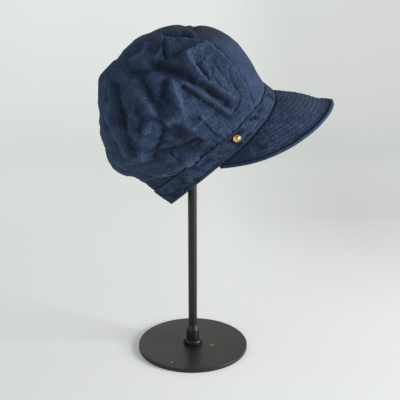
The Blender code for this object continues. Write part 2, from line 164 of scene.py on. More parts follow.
# Folds of the crown, drawn as curves in the side view, the main ones first.
# Side is -1 for the wearer's right, 1 for the left and 0 for the strip between the side seams.
# Along is a share of CROWN_REACH, and up of CROWN_TOP. Width is a share of FOLD_WIDTH, and rise of
# FOLD_DEPTH, negative for a valley. Sharp runs from 0, a round fold, to 1, a crisp crease.
Fold = namedtuple("Fold", "side start_along start_up bend_along bend_up end_along end_up width rise sharp")
CROWN_FOLDS = (
    Fold(-1, 0.33, 0.79, 0.51, 0.60, 0.51, 0.26, 0.66, -1.00, 0.5),
    Fold(-1, 0.60, 0.66, 0.52, 0.57, 0.58, 0.27, 0.42, 0.64, 0.7),
    Fold(-1, 0.78, 0.62, 0.61, 0.68, 0.58, 0.66, 0.34, 0.48, 0.6),
    Fold(-1, 0.39, 0.58, 0.455, 0.46, 0.46, 0.25, 0.30, 0.36, 0.7),
    Fold(-1, 0.36, 0.56, 0.39, 0.40, 0.405, 0.20, 0.34, -0.66, 0.7),
    Fold(-1, 0.33, 0.64, 0.28, 0.59, 0.12, 0.39, 0.40, 0.46, 0.8),
    Fold(-1, 0.29, 0.66, 0.16, 0.62, -0.07, 0.56, 0.70, -0.45, 0.4),
    Fold(-1, 0.10, 0.87, 0.21, 0.81, 0.32, 0.77, 0.35, -0.28, 0.6),
    Fold(-1, 0.56, 0.84, 0.49, 0.82, 0.46, 0.76, 0.22, -0.34, 1.0),
    Fold(-1, 0.48, 0.82, 0.43, 0.81, 0.36, 0.81, 0.26, 0.28, 0.9),
    Fold(-1, 0.02, 0.89, 0.01, 0.74, -0.05, 0.59, 0.55, 0.20, 0.7),
    Fold(-1, -0.12, 0.89, -0.24, 0.79, -0.36, 0.69, 0.62, -0.42, 0.4),
    Fold(-1, 0.15, 0.80, 0.11, 0.72, 0.04, 0.65, 0.55, -0.35, 0.4),
    Fold(-1, -0.16, 0.98, -0.19, 0.86, -0.40, 0.80, 0.30, 0.28, 0.7),
    Fold(-1, 0.41, 0.93, 0.36, 0.85, 0.18, 0.92, 0.26, 0.26, 0.9),
    Fold(-1, 0.77, 0.39, 0.71, 0.33, 0.65, 0.21, 0.22, -0.24, 0.9),
    Fold(-1, 0.63, 0.21, 0.59, 0.19, 0.51, 0.18, 0.13, -0.30, 1.0),
    Fold(-1, 0.615, 0.585, 0.60, 0.53, 0.575, 0.46, 0.25, -0.42, 0.9),
    Fold(-1, 0.68, 0.50, 0.67, 0.47, 0.61, 0.45, 0.20, -0.20, 0.9),
    Fold(-1, 0.73, 0.48, 0.69, 0.40, 0.69, 0.34, 0.18, -0.24, 1.0),
    Fold(-1, 0.63, 0.43, 0.59, 0.37, 0.61, 0.32, 0.18, -0.24, 1.0),
    Fold(0, 0.59, 0.87, 0.69, 0.79, 0.75, 0.72, 0.25, -0.28, 1.0),
    Fold(0, 0.76, 0.75, 0.80, 0.71, 0.75, 0.68, 0.25, 0.20, 0.9),
    Fold(0, 0.84, 0.72, 0.96, 0.60, 0.98, 0.45, 0.50, -0.22, 0.5),
    Fold(-1, -0.03, 0.48, 0.09, 0.53, 0.09, 0.25, 0.32, 0.68, 0.9),
    Fold(-1, 0.07, 0.25, -0.07, 0.27, -0.32, 0.38, 0.40, -0.54, 0.6),
    Fold(-1, -0.06, 0.48, -0.23, 0.43, -0.39, 0.40, 0.36, -0.52, 0.7),
    Fold(-1, -0.14, 0.57, -0.40, 0.54, -0.51, 0.45, 0.30, 0.36, 0.9),
    Fold(-1, -0.01, 0.66, -0.03, 0.57, -0.12, 0.53, 0.36, 0.28, 0.8),
    Fold(-1, -0.15, 0.71, -0.31, 0.70, -0.34, 0.63, 0.26, 0.13, 0.8),
    Fold(-1, -0.13, 0.68, -0.17, 0.63, -0.22, 0.61, 0.55, -0.24, 0.3),
    Fold(-1, -0.28, 0.60, -0.27, 0.57, -0.29, 0.54, 0.18, -0.24, 1.0),
    Fold(-1, -0.43, 0.81, -0.45, 0.73, -0.64, 0.49, 0.28, 0.36, 0.8),
    Fold(-1, -0.25, 0.77, -0.40, 0.65, -0.50, 0.53, 0.55, -0.28, 0.3),
    Fold(-1, -0.27, 0.32, -0.27, 0.29, -0.28, 0.24, 0.15, -0.20, 1.0),
    Fold(-1, 0.22, 0.35, 0.22, 0.29, 0.18, 0.16, 0.15, -0.22, 1.0),
    Fold(-1, 0.25, 0.32, 0.13, 0.32, 0.05, 0.36, 0.16, 0.18, 1.0),
    Fold(-1, -0.22, 0.29, -0.14, 0.24, 0.05, 0.22, 0.22, -0.16, 0.8),
    Fold(0, -0.94, 0.55, -0.89, 0.66, -0.78, 0.76, 0.90, 0.14, 0.2),
    Fold(0, 0.10, 1.00, 0.20, 0.99, 0.32, 0.98, 0.80, 0.08, 0.2),
    Fold(0, 0.46, 0.95, 0.60, 0.90, 0.74, 0.82, 0.70, -0.20, 0.2),
    Fold(0, -0.22, 1.01, -0.10, 1.00, 0.02, 1.00, 0.90, -0.24, 0.2),
    Fold(0, 0.78, 0.78, 0.80, 0.76, 0.82, 0.74, 0.55, -0.38, 0.4),
    Fold(0, 0.85, 0.73, 0.95, 0.61, 0.98, 0.46, 1.20, 0.27, 0.2),
    Fold(1, 0.40, 0.76, 0.52, 0.51, 0.46, 0.29, 0.75, -0.70, 0.4),
    Fold(1, 0.22, 0.82, 0.14, 0.59, -0.06, 0.41, 0.80, -0.55, 0.4),
    Fold(1, 0.34, 0.65, 0.28, 0.47, 0.18, 0.29, 0.65, 0.50, 0.4),
    Fold(1, -0.16, 0.80, -0.34, 0.63, -0.38, 0.39, 0.85, -0.50, 0.3),
    Fold(1, -0.02, 0.86, -0.12, 0.68, -0.22, 0.53, 0.60, 0.45, 0.5),
    Fold(1, -0.16, 0.39, -0.28, 0.35, -0.36, 0.27, 1.10, -0.50, 0.3),
    Fold(1, -0.74, 0.39, -0.44, 0.31, -0.16, 0.20, 0.80, 0.55, 0.4),
    Fold(1, -0.62, 0.72, -0.62, 0.53, -0.72, 0.41, 0.75, -0.40, 0.4),
    Fold(1, 0.48, 0.68, 0.52, 0.50, 0.46, 0.32, 0.18, -0.30, 1.0),
    Fold(1, 0.18, 0.74, 0.10, 0.58, -0.04, 0.44, 0.20, -0.28, 1.0),
    Fold(1, -0.20, 0.74, -0.33, 0.60, -0.38, 0.42, 0.22, -0.24, 1.0),
    Fold(1, -0.30, 0.50, -0.22, 0.42, -0.06, 0.36, 0.26, 0.24, 0.9),
    Fold(1, 0.62, 0.60, 0.60, 0.46, 0.64, 0.30, 0.26, 0.22, 0.9),
    Fold(1, -0.62, 0.60, -0.60, 0.50, -0.68, 0.40, 0.22, -0.20, 1.0),
    Fold(1, 0.70, 0.66, 0.66, 0.44, 0.58, 0.24, 0.50, 0.30, 0.4),
    Fold(1, -0.70, 0.22, -0.44, 0.17, -0.16, 0.09, 0.45, -0.35, 0.3),
)

# Painted light and shade: lighter and darker stretches of the right side's cloth, in the same columns
CROWN_PAINTED_SHADING = (
    Fold(-1, 0.71, 0.62, 0.67, 0.46, 0.62, 0.30, 0.55, 0.45, 0.3),
    Fold(-1, 0.635, 0.58, 0.61, 0.51, 0.57, 0.44, 0.40, -0.50, 0.3),
    Fold(-1, 0.60, 0.68, 0.57, 0.62, 0.55, 0.57, 0.30, 0.40, 0.3),
    Fold(-1, -0.40, 0.50, -0.42, 0.42, -0.40, 0.36, 0.50, -0.25, 0.3),
    Fold(-1, -0.05, 0.20, 0.05, 0.12, 0.15, 0.08, 0.45, -0.50, 0.3),
    Fold(-1, 0.08, 0.42, 0.09, 0.34, 0.10, 0.27, 0.45, -0.50, 0.3),
    Fold(-1, 0.06, 0.42, 0.00, 0.38, -0.12, 0.36, 0.60, -0.22, 0.3),
    Fold(-1, 0.30, 0.78, 0.32, 0.68, 0.38, 0.60, 0.50, -0.25, 0.3),
)


def length_property(name, description, default):
    """Property of a length in metres."""
    return FloatProperty(name=name, description=description, default=default, unit="LENGTH")


def colour_property(name, description, default):
    """Property of a colour."""
    return FloatVectorProperty(name=name, description=description, default=default, subtype="COLOR")


class ClothSizes(bpy.types.PropertyGroup):
    """Depths and spacings of the hat's cloth."""
    crumple: length_property("Crumple", "Depth of the fine creases in the side panels", 0.0024)
    gather: length_property("Gather", "Depth of the gathers above the band", 0.0013)
    gather_spacing: length_property("Gather spacing", "Usual distance between gathers", 0.009)
    seam_groove: length_property("Seam groove", "Depth of the groove at a sewn seam", 0.0015)
    row_spacing: length_property("Row spacing", "Distance between the peak's rows of stitches", 0.0055)
    row_depth: length_property("Row depth", "How far a row of stitches pulls the peak in", 0.00048)
    edge_roll: length_property("Edge roll", "Width of the rolled edge of the peak", 0.0050)
    stitch_length: length_property("Stitch length", "Length of one stitch", 0.0021)
    stitch_pitch: length_property("Stitch pitch", "Distance from one stitch to the next", 0.0030)
    thread: length_property("Thread", "Thickness of the sewing thread", 0.00042)
    yarn_pitch: length_property("Yarn pitch", "Distance between neighbouring yarns of the weave", 0.00055)


class StandSizes(bpy.types.PropertyGroup):
    """Roundings of the stud and the stand, and the floor."""
    edge_round: length_property("Edge rounding", "Rounding of the base's edges", 0.0011)
    flange_round: length_property("Flange rounding", "Rounding of the flange's edge", 0.0030)
    collar_round: length_property("Collar rounding", "Rounding of the collar's shoulder", 0.0006)
    stud_rim: length_property("Stud rim", "Width of the rim round the stud's dome", 0.0009)
    floor_width: length_property("Floor width", "Width of the pale floor", 5.0)


class Colours(bpy.types.PropertyGroup):
    """Colours of the finishes."""
    navy: colour_property("Navy cloth", "Washed navy cotton", (0.0275, 0.0490, 0.106))
    # Painted light and wear: the lighter cloth laid on lit ridges and edges, and on worn seams
    navy_wear_and_light: colour_property("Worn navy", "Lighter cloth on ridges and seams", (0.060, 0.100, 0.198))
    # Painted shade: the darker cloth laid in folds, recesses and under the bag's edge
    navy_painted_shade: colour_property("Deep navy", "Darker cloth in the folds", (0.0115, 0.020, 0.043))
    quilted: colour_property("Quilted cloth", "Cotton of the stitched peak", (0.0255, 0.0450, 0.094))
    thread: colour_property("Thread", "Sewing thread", (0.024, 0.040, 0.082))
    gold: colour_property("Gold", "Stud's metal", (0.83, 0.60, 0.24))
    black: colour_property("Black", "Stand's satin paint", (0.0120, 0.0125, 0.0110))
    rust: colour_property("Rust", "Bare rusty spot on the base", (0.30, 0.155, 0.075))
    plastic: colour_property("Plastic", "Head of the stand", (0.030, 0.030, 0.032))
    floor: colour_property("Floor", "Pale floor", (0.87, 0.89, 0.87))


def mix(start, end, share):
    """Value between start and end."""
    return start + (end - start) * share


def smooth(value):
    """Soft step from 0 to 1."""
    held = np.clip(value, 0.0, 1.0)
    return held * held * (3 - 2 * held)


def bump(distance, width):
    """Soft bump of height 1 over a distance."""
    return np.exp(-(distance / width) ** 2)


def catmull_rom(before, start, end, after, t):
    """Smooth value between start and end."""
    return 0.5 * (2 * start + (end - before) * t
                  + (2 * before - 5 * start + 4 * end - after) * t ** 2
                  + (3 * (start - end) + after - before) * t ** 3)


def ring_at(rise):
    """Columns of the crown's ring table at each rise, on a smooth curve."""
    table = np.array(CROWN_RINGS)
    last = len(table) - 1
    index = np.minimum((rise * last).astype(int), last - 1)
    share = (rise * last - index)[:, None]
    rows = [table[np.clip(index + step, 0, last)] for step in (-1, 0, 1, 2)]
    return Ring(*catmull_rom(*rows, share).T)


def oval(turn, egg):
    """Along and across shares of a slightly boxy oval, blunter in front when egg is positive."""
    along, across = np.cos(turn), np.sin(turn)
    size = (np.abs(along) ** BOXINESS + np.abs(across) ** BOXINESS) ** (-1 / BOXINESS)
    return along * size, across * size * (1 + egg * along)


def edge_wave(turn):
    """How far the band's edge dips beside the front, and rises beside the back."""
    return -BAND_WAVE * np.sin(2 * np.abs(turn))


def crown_base(turn, rise):
    """Points of the unfolded crown."""
    ring = ring_at(rise)
    along, across = oval(turn, ring.egg)
    forward = (1 + along) / 2
    seam = mix(BAND_BACK_HEIGHT, BAND_FRONT_HEIGHT, forward) + edge_wave(turn) * (1 - rise) ** 6
    return np.stack((
        CROWN_REACH * mix(ring.back_along, ring.front_along, forward),
        CROWN_HALF_WIDTH * ring.half_width * across,
        seam + CROWN_RISE * mix(ring.back_rise, ring.front_rise, forward),
    ), axis=1)


def band_base(turn, rise):
    """Points of the band's outer face, between its lower edge and the crown's seam."""
    along, across = oval(turn, np.full_like(turn, OPENING_EGG))
    low = np.stack((along * OPENING_REACH, across * OPENING_HALF_WIDTH, edge_wave(turn)), axis=1)
    high = crown_base(turn, np.zeros_like(turn)) - np.array((0, 0, SEAT_GAP))
    return mix(low, high, rise[:, None])


def unit(vectors):
    """Vectors made one long."""
    return vectors / np.maximum(np.linalg.norm(vectors, axis=1, keepdims=True), 1e-12)


def outward_at(place, turn, rise):
    """Outward directions of a surface that is placed by turn and rise."""
    inner = np.clip(rise, STEP, 1 - STEP)
    sideways = place(turn + STEP, inner) - place(turn - STEP, inner)
    upwards = place(turn, inner + STEP) - place(turn, inner - STEP)
    return unit(np.cross(sideways, upwards))


def peak_length(across):
    """Length of the peak from its root to its edge."""
    return mix(PEAK_EAR_LENGTH, PEAK_LENGTH, 1 - np.abs(across) ** PEAK_FULLNESS)


def peak_base(across, out):
    """Points of the peak's upper face, tucked behind the band at its root, and their lifting directions."""
    turn = across * PEAK_EAR_TURN
    low = np.zeros_like(turn)
    root = band_base(turn, low) - np.array((0, 0, SEAT_GAP))
    tangent = band_base(turn + STEP, low) - band_base(turn - STEP, low)
    up = np.array((0.0, 0.0, 1.0))
    outward = unit(np.cross(tangent, up))
    fullness = 1 - np.abs(across) ** PEAK_FULLNESS
    flare = mix(PEAK_FLARE, PEAK_SIDE_FLARE, np.abs(across))[:, None]
    direction = outward * np.sin(flare) - up * np.cos(flare)
    lift = outward * np.cos(flare) + up * np.sin(flare)
    rise = (PEAK_EDGE_LIFT * fullness * np.maximum(out, 0) ** 4)[:, None]
    from_root = (peak_length(across) * out)[:, None]
    tuck = (BAND_WALL + SEAT_GAP) * (1 - smooth(from_root / 0.0035))
    return root + direction * from_root + lift * rise - outward * tuck, lift


def curve_points(fold, count):
    """Points along a fold's curve, in the side view."""
    t = np.linspace(0, 1, count)[:, None]
    along = (1 - t) ** 2 * fold.start_along + 2 * t * (1 - t) * fold.bend_along + t ** 2 * fold.end_along
    up = (1 - t) ** 2 * fold.start_up + 2 * t * (1 - t) * fold.bend_up + t ** 2 * fold.end_up
    return np.hstack((along * CROWN_REACH, up * CROWN_TOP))


def distance_to_runs(places, points):
    """Distances from places to a line of straight runs."""
    nearest = np.full(len(places), 1e9)
    for start, end in zip(points, points[1:]):
        run = end - start
        share = np.clip((places - start) @ run / max(run @ run, 1e-12), 0, 1)
        away = np.linalg.norm(places - start - share[:, None] * run, axis=1)
        nearest = np.minimum(nearest, away)
    return nearest


def fold_profile(distance, width, sharp):
    """Height of a fold over the distance from its line, from round to crisp."""
    crisp = np.exp(-1.7 * (np.sqrt((distance / width) ** 2 + 0.02) - 0.1414))
    return mix(bump(distance, width), crisp, sharp)


def fold_heights(places, folds):
    """Summed heights of folds at places in the side view."""
    total = np.zeros(len(places))
    for fold in folds:
        distance = distance_to_runs(places, curve_points(fold, 13))
        total += fold.rise * FOLD_DEPTH * fold_profile(distance, fold.width * FOLD_WIDTH, fold.sharp)
    return total


def guide_points(folds):
    """Points along folds and along both flanks, so that facets meet at the folds' lines."""
    rows = []
    for fold in folds:
        line = curve_points(fold, 7)
        run = np.gradient(line, axis=0)
        aside = np.stack((-run[:, 1], run[:, 0]), axis=1) / np.linalg.norm(run, axis=1, keepdims=True)
        reach = 1.3 * fold.width * FOLD_WIDTH
        rows += [line, (line + aside * reach)[::2], (line - aside * reach)[::2]]
    return np.vstack(rows)


def noise_field(points, pitch, seed, kind="plain"):
    """Smooth noise from about -1 to 1 at points, or its sharp ridges."""
    shift = Vector((seed * 3.7, seed * 1.9, seed * 5.3))
    scale = 1 / pitch
    found = (noise.noise(Vector(point) * scale + shift) for point in points)
    values = np.fromiter(found, float, len(points))
    return values if kind == "plain" else 1 - 2 * np.abs(values) ** 0.8


def seam_distance(points):
    """Distance beyond the side seams: positive on the side panels, negative on the strip."""
    return (np.abs(points[:, 1]) * math.cos(SEAM_LEAN) + points[:, 2] * math.sin(SEAM_LEAN)
            - STRIP_BAND_HALF_WIDTH * math.cos(SEAM_LEAN))


def random_creases(points, centres, count, seed, reach, width, steep):
    """Heights from about -1 to 1 of many short crisp creases round some of the points."""
    rng = np.random.default_rng(seed)
    total = np.zeros(len(points))
    for _ in range(count):
        centre = points[centres[rng.integers(len(centres))]]
        forward = rng.normal(0.1, 0.7 * (1 - steep))
        sideways = rng.normal(0, 0.2)
        upward = -1.0 + rng.normal(0, 0.9) * (1 - steep)
        heading = unit(np.array([[forward, sideways, upward]]))[0]
        half = rng.uniform(0.35, 1.0) * reach
        spread = rng.uniform(0.5, 1.2) * width
        height = rng.choice((-1.0, 1.0), p=(0.6, 0.4)) * rng.uniform(0.3, 1.0)
        near = np.flatnonzero(np.abs(points - centre).max(axis=1) < half + 3 * spread)
        away = points[near] - centre
        along = away @ heading
        across = np.linalg.norm(away - along[:, None] * heading, axis=1)
        taper = np.clip(1 - (along / half) ** 2, 0, None)
        total[near] += height * taper * np.exp(-1.5 * across / spread)
    return total


def facets(places, spacing, stretch, lean, seed, folds=(), sway_depth=0.0):
    """Heights of a crumpled sheet, whose random peaks and folds' guide points are joined by flat facets."""
    rng = np.random.default_rng(seed)
    middle = np.array((0.0, CROWN_TOP / 2))
    turn = np.array(((math.cos(lean), math.sin(lean)), (-math.sin(lean) * stretch, math.cos(lean) * stretch)))
    reach = 1.6 * CROWN_REACH * stretch
    steps = np.arange(-reach, reach, spacing)
    peaks = np.array([(x, y) for x in steps for y in steps])
    peaks += rng.uniform(-0.42, 0.42, peaks.shape) * spacing
    heights = rng.uniform(-1, 1, len(peaks))
    if folds:
        fixed = (guide_points(folds) - middle) @ turn.T
        free = np.array([np.abs(fixed - peak).max(axis=1).min() > 0.45 * spacing for peak in peaks])
        peaks = np.vstack((peaks[free], fixed))
        sway = np.concatenate((heights[free], 0.25 * rng.uniform(-1, 1, len(fixed))))
        heights = fold_heights(peaks @ np.linalg.inv(turn).T + middle, folds) + sway_depth * sway
    corners, _, faces, origins, _, _ = delaunay_2d_cdt([Vector(peak) for peak in peaks], [], [], 0, 1e-5)
    sheet = BVHTree.FromPolygons(
        [(corner.x, corner.y, heights[origin[0]]) for corner, origin in zip(corners, origins)], faces)
    down = Vector((0, 0, -1))
    found = (sheet.ray_cast(Vector((x, y, 2.0)), down)[0] for x, y in (places - middle) @ turn.T)
    return np.array([hit.z if hit else 0.0 for hit in found])


def box_blur(grid, radius):
    """Average of a grid over a square window."""
    total = grid
    for axis in (0, 1):
        padded = np.concatenate([np.take(total, [0] * radius, axis), total,
                                 np.take(total, [-1] * radius, axis)], axis)
        summed = np.cumsum(padded, axis)
        first = np.take(summed, [0], axis) * 0
        summed = np.concatenate([first, summed], axis)
        size = 2 * radius + 1
        length = total.shape[axis]
        total = (np.take(summed, range(size, size + length), axis)
                 - np.take(summed, range(length), axis)) / size
    return total


def soften(values, turn, rise, radius):
    """Values on the crown's corners averaged over their neighbours."""
    columns, rows = CROWN_AROUND + 1, CROWN_LEVELS + 1
    across = turn / (2 * math.pi) + 0.5
    index = (np.rint(rise * CROWN_LEVELS) * columns + np.rint(across * CROWN_AROUND)).astype(int)
    field = np.zeros(columns * rows)
    field[index] = values
    return box_blur(field.reshape(rows, columns), radius).ravel()[index]


def above_seam(rise):
    """Length of cloth between the crown's seam and each place."""
    return rise * CROWN_RISE * CLOTH_PER_RISE


def seam_wave(turn):
    """How far the seam of band and crown wavers up and down."""
    return 0.0015 * noise_field(crown_base(turn, np.zeros_like(turn)), 0.011, 91)


def side_relief(base, baggy, sizes):
    """Heights of the crown's wide folds, and its thin folds and small facets as shares of the crumple."""
    places = base[:, [0, 2]]
    fade = smooth(np.abs(base[:, 1]) / STRIP_TOP_HALF_WIDTH)
    relief = fold_heights(places, [fold for fold in CROWN_FOLDS if fold.side == 0]) * (1 - baggy)
    crumple = np.zeros(len(base))
    for side, lean in ((-1, -58), (1, -48)):
        here = np.sign(base[:, 1]) == side
        wide = [fold for fold in CROWN_FOLDS if fold.side == side and fold.width > THIN_FOLD]
        thin = [fold for fold in CROWN_FOLDS if fold.side == side and fold.width <= THIN_FOLD]
        broad = facets(places[here], 0.014, 1.5, math.radians(lean), 7 + side, wide, 0.75 * sizes.crumple)
        relief[here] += mix(broad, fold_heights(places[here], wide), 0.2) * fade[here]
        fine = facets(places[here], 0.0085, 1.5, math.radians(-35), 17 + side)
        small = facets(places[here], 0.0046, 1.4, math.radians(-50), 27 + side)
        crumple[here] = 0.34 * fine + 0.15 * small
        crumple[here] += fold_heights(places[here], thin) / sizes.crumple
    return relief, crumple


def gather_relief(turn, base, above, sizes):
    """Heights of the gathers above the band."""
    phase = noise_field(base * np.array((1, 1, 0.2)), 0.030, 8) * 5.0
    count = round(2 * math.pi * CROWN_REACH * 0.86 / sizes.gather_spacing)
    fullness = mix(0.25, 1.0, smooth((seam_distance(base) + 0.010) / 0.02))
    reach = 0.010 * (1 + 0.5 * noise_field(base, 0.018, 21))
    gathers = sizes.gather * np.cos(count * turn + phase) * np.exp(-(above / reach) ** 1.3) * fullness
    return gathers * smooth((above - 0.0006) / 0.0035)


def seam_relief(base, beyond, sizes):
    """Heights at the side seams: their groove, the pressed cloth beside it and its puckers."""
    groove = -sizes.seam_groove * (bump(beyond, 0.0013) + 0.5 * bump(beyond + 0.0016, 0.0024))
    pressed = 0.0013 * bump(beyond - 0.0036, 0.0022)
    pucker = 0.0011 * noise_field(base * np.array((1, 0.5, 1)), 0.0075, 31) * bump(beyond - 0.003, 0.0085)
    return groove + pressed + pucker


def crown_lift(turn, rise, base, sizes):
    """How far the crown's cloth stands out from its plain shape."""
    beyond, above = seam_distance(base), above_seam(rise)
    baggy = smooth((beyond + 0.002) / 0.012)
    seam_fade = smooth(rise * CROWN_LEVELS / 8)
    relief, crumple = side_relief(base, baggy, sizes)
    relief = soften(relief, turn, rise, 1)
    front = smooth((base[:, 0] - 0.25 * CROWN_REACH) / 0.03)
    crumple += 0.28 * random_creases(base, np.arange(len(base)), 420, 11, 0.020, 0.0028, 0.0)
    beside = (beyond > 0.001) & (beyond < 0.038) & (front > 0.5) & (base[:, 2] > 0.2 * CROWN_TOP)
    crumple += 0.30 * random_creases(base, np.flatnonzero(beside), 300, 12, 0.0085, 0.0016, 0.75)
    crumple += 0.10 * noise_field(base, 0.0045, 5, "ridged")
    crumple *= sizes.crumple * mix(mix(0.80, 0.06, front), 1.0, baggy)
    tuck = -(BAND_WALL + 0.0002) * (1 - smooth((above - 0.0004) / 0.0036))
    rear, edge = bag_edge(base)
    bag = 0.0034 * hanging(base, above)
    bag -= 0.0009 * smooth(rear / 0.25) * smooth((edge - above) / 0.005) * smooth(above / 0.004)
    sewn = (relief + crumple + seam_relief(base, beyond, sizes)) * seam_fade
    return sewn + gather_relief(turn, base, above, sizes) + tuck + bag


def bag_edge(base):
    """How far back each place lies, from 0 to 1, and the height above the seam of the bag's lower edge."""
    rear = smooth(-base[:, 0] / CROWN_REACH / 0.75)
    edge = mix(BAG_EDGE_BESIDE, BAG_EDGE_BACK, rear ** 1.1)
    return rear, edge + 0.0015 * noise_field(base, 0.02, 95)


def hanging(base, above):
    """Share from 0 to 1 by which the crown's rear bags out and hangs over the band."""
    rear, edge = bag_edge(base)
    below = bump(np.minimum(above - edge, 0), 0.0042)
    over = bump(np.maximum(above - edge, 0), 0.0140)
    sideways = smooth((np.abs(base[:, 1]) - 0.010) / 0.03)
    return smooth(rear / 0.25) * mix(1.0, 0.35, smooth((rear - 0.7) / 0.3)) * below * over * sideways


def hat_matrix():
    """Place of the hat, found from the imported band: its front reach and lowest edge, unturned."""
    turn = Matrix.Rotation(-HAT_TILT, 4, "Y")
    back = turn.inverted()
    corners = np.array([back @ vertex.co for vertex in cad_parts["band"].data.vertices])
    low, high = corners.min(axis=0), corners.max(axis=0)
    origin = Vector((high[0] - OPENING_REACH, (low[1] + high[1]) / 2, low[2] + BAND_WAVE))
    return turn @ Matrix.Translation(origin)


def shared_grid(columns, rows):
    """Bmesh grid with its shares from 0 to 1 across and up, in the order of its corners."""
    grid = bmesh.new()
    bmesh.ops.create_grid(grid, x_segments=columns, y_segments=rows, size=0.5)
    shares = np.array([vertex.co[:2] for vertex in grid.verts]) + 0.5
    return grid, shares[:, 0], shares[:, 1]


def place_grid(grid, points, layers):
    """Put a grid's corners at points and keep named values on them."""
    made = {name: grid.verts.layers.float.new(name) for name in layers}
    for index, vertex in enumerate(grid.verts):
        vertex.co = points[index]
        for name, layer in made.items():
            vertex[layer] = float(layers[name][index])


def side_flat(corner):
    """Place of a side panel's corner on its flat cloth."""
    return corner.co.x, corner.co.z


def strip_flat(corner):
    """Place of the strip's corner on its flat cloth."""
    return STRIP_FLAT_RADIUS * math.atan2(corner.co.x, corner.co.z - 0.05), corner.co.y


def kept_flat(grid, *names):
    """Reader of a corner's place on the flat cloth from two values kept on the grid."""
    right, up = (grid.verts.layers.float[name] for name in names)
    return lambda corner: (corner[right], corner[up])


def lay_uv(grid, flat):
    """Give every face corner its place on the flat cloth, in metres."""
    layer = grid.loops.layers.uv.new("cloth")
    for face in grid.faces:
        for loop in face.loops:
            loop[layer].uv = flat(loop.vert)


def finish_cloth(name, grid, wall, material, nodes=()):
    """Make a cloth piece with thickness from a bmesh in hat directions, and put it on the frame."""
    grid.transform(hat_matrix())
    mesh = bpy.data.meshes.new(name)
    grid.to_mesh(mesh)
    grid.free()
    mesh.shade_smooth()
    piece = bpy.data.objects.new(name, mesh)
    bpy.context.scene.collection.objects.link(piece)
    if wall:
        shell = piece.modifiers.new("wall", "SOLIDIFY")
        shell.thickness = wall
        shell.offset = -1.0
        shell.use_even_offset = False
    piece.data.materials.append(material)
    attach(piece, "root")
    if nodes:
        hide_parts(*nodes)
    return piece


def socketed_group(name, inputs, outputs):
    """Shader node group with named float inputs and outputs."""
    group = bpy.data.node_groups.new(name, "ShaderNodeTree")
    for label, value in inputs:
        kind = "NodeSocketVector" if label == "Vector" else "NodeSocketFloat"
        socket = group.interface.new_socket(label, in_out="INPUT", socket_type=kind)
        if value is not None:
            socket.default_value = value
    for label in outputs:
        group.interface.new_socket(label, in_out="OUTPUT", socket_type="NodeSocketFloat")
    return group, group.nodes.new("NodeGroupInput"), group.nodes.new("NodeGroupOutput")


def math_node(tree, operation, *values):
    """Math node fed by sockets or numbers; gives back its output."""
    node = tree.nodes.new("ShaderNodeMath")
    node.operation = operation
    for index, value in enumerate(values):
        if isinstance(value, (int, float)):
            node.inputs[index].default_value = value
        else:
            tree.links.new(value, node.inputs[index])
    return node.outputs[0]


def noise_node(tree, vector, scale, detail=3.0, roughness=0.5):
    """Noise texture at a scale per metre; gives back its factor."""
    node = tree.nodes.new("ShaderNodeTexNoise")
    node.inputs["Scale"].default_value = scale
    node.inputs["Detail"].default_value = detail
    node.inputs["Roughness"].default_value = roughness
    tree.links.new(vector, node.inputs["Vector"])
    return node.outputs["Fac"]


def ramp_node(tree, factor, stops):
    """Colour ramp with stops of place and colour; gives back its colour."""
    node = tree.nodes.new("ShaderNodeValToRGB")
    ramp = node.color_ramp
    while len(ramp.elements) < len(stops):
        ramp.elements.new(0.5)
    for element, (place, colour) in zip(ramp.elements, stops):
        element.position = place
        element.color = (*colour, 1.0)
    tree.links.new(factor, node.inputs["Fac"])
    return node.outputs["Color"]


def mix_colours(tree, factor, first, second, kind="MIX"):
    """Mix two colours, each a socket or a plain colour; gives back the result."""
    node = tree.nodes.new("ShaderNodeMix")
    node.data_type = "RGBA"
    node.blend_type = kind
    node.clamp_factor = True
    sockets = (node.inputs["Factor"], node.inputs[6], node.inputs[7])
    for socket, value in zip(sockets, (factor, first, second)):
        if isinstance(value, (int, float)):
            socket.default_value = value
        elif isinstance(value, (tuple, list)):
            socket.default_value = (*value, 1.0)
        else:
            tree.links.new(value, socket)
    return node.outputs[2]


def object_place(tree):
    """Place on the object, in metres."""
    return tree.nodes.new("ShaderNodeTexCoord").outputs["Object"]


def separate(tree, vector):
    """Outputs X, Y and Z of a place."""
    node = tree.nodes.new("ShaderNodeSeparateXYZ")
    tree.links.new(vector, node.inputs["Vector"])
    return node.outputs


def stretched(tree, vector, scale):
    """Place multiplied by a scale for each axis."""
    node = tree.nodes.new("ShaderNodeVectorMath")
    node.operation = "MULTIPLY"
    node.inputs[1].default_value = scale
    tree.links.new(vector, node.inputs[0])
    return node.outputs["Vector"]


def held_node(tree, value):
    """Value held between 0 and 1."""
    return math_node(tree, "MINIMUM", math_node(tree, "MAXIMUM", value, 0.0), 1.0)


def swing_node(tree, factor, amount):
    """Factor from 0 to 1 made into a swing of an amount round 0."""
    return math_node(tree, "MULTIPLY", math_node(tree, "SUBTRACT", factor, 0.5), amount)


def shades(colour, dark, light):
    """Ramp stops with a darker and a lighter shade of a colour."""
    return (0.3, tuple(dark * part for part in colour)), (0.7, tuple(light * part for part in colour))


def rising(tree, factor, start, end):
    """Grey that rises from 0 to 1 between two values of a factor."""
    return ramp_node(tree, factor, ((start, (0.0, 0.0, 0.0)), (end, (1.0, 1.0, 1.0))))


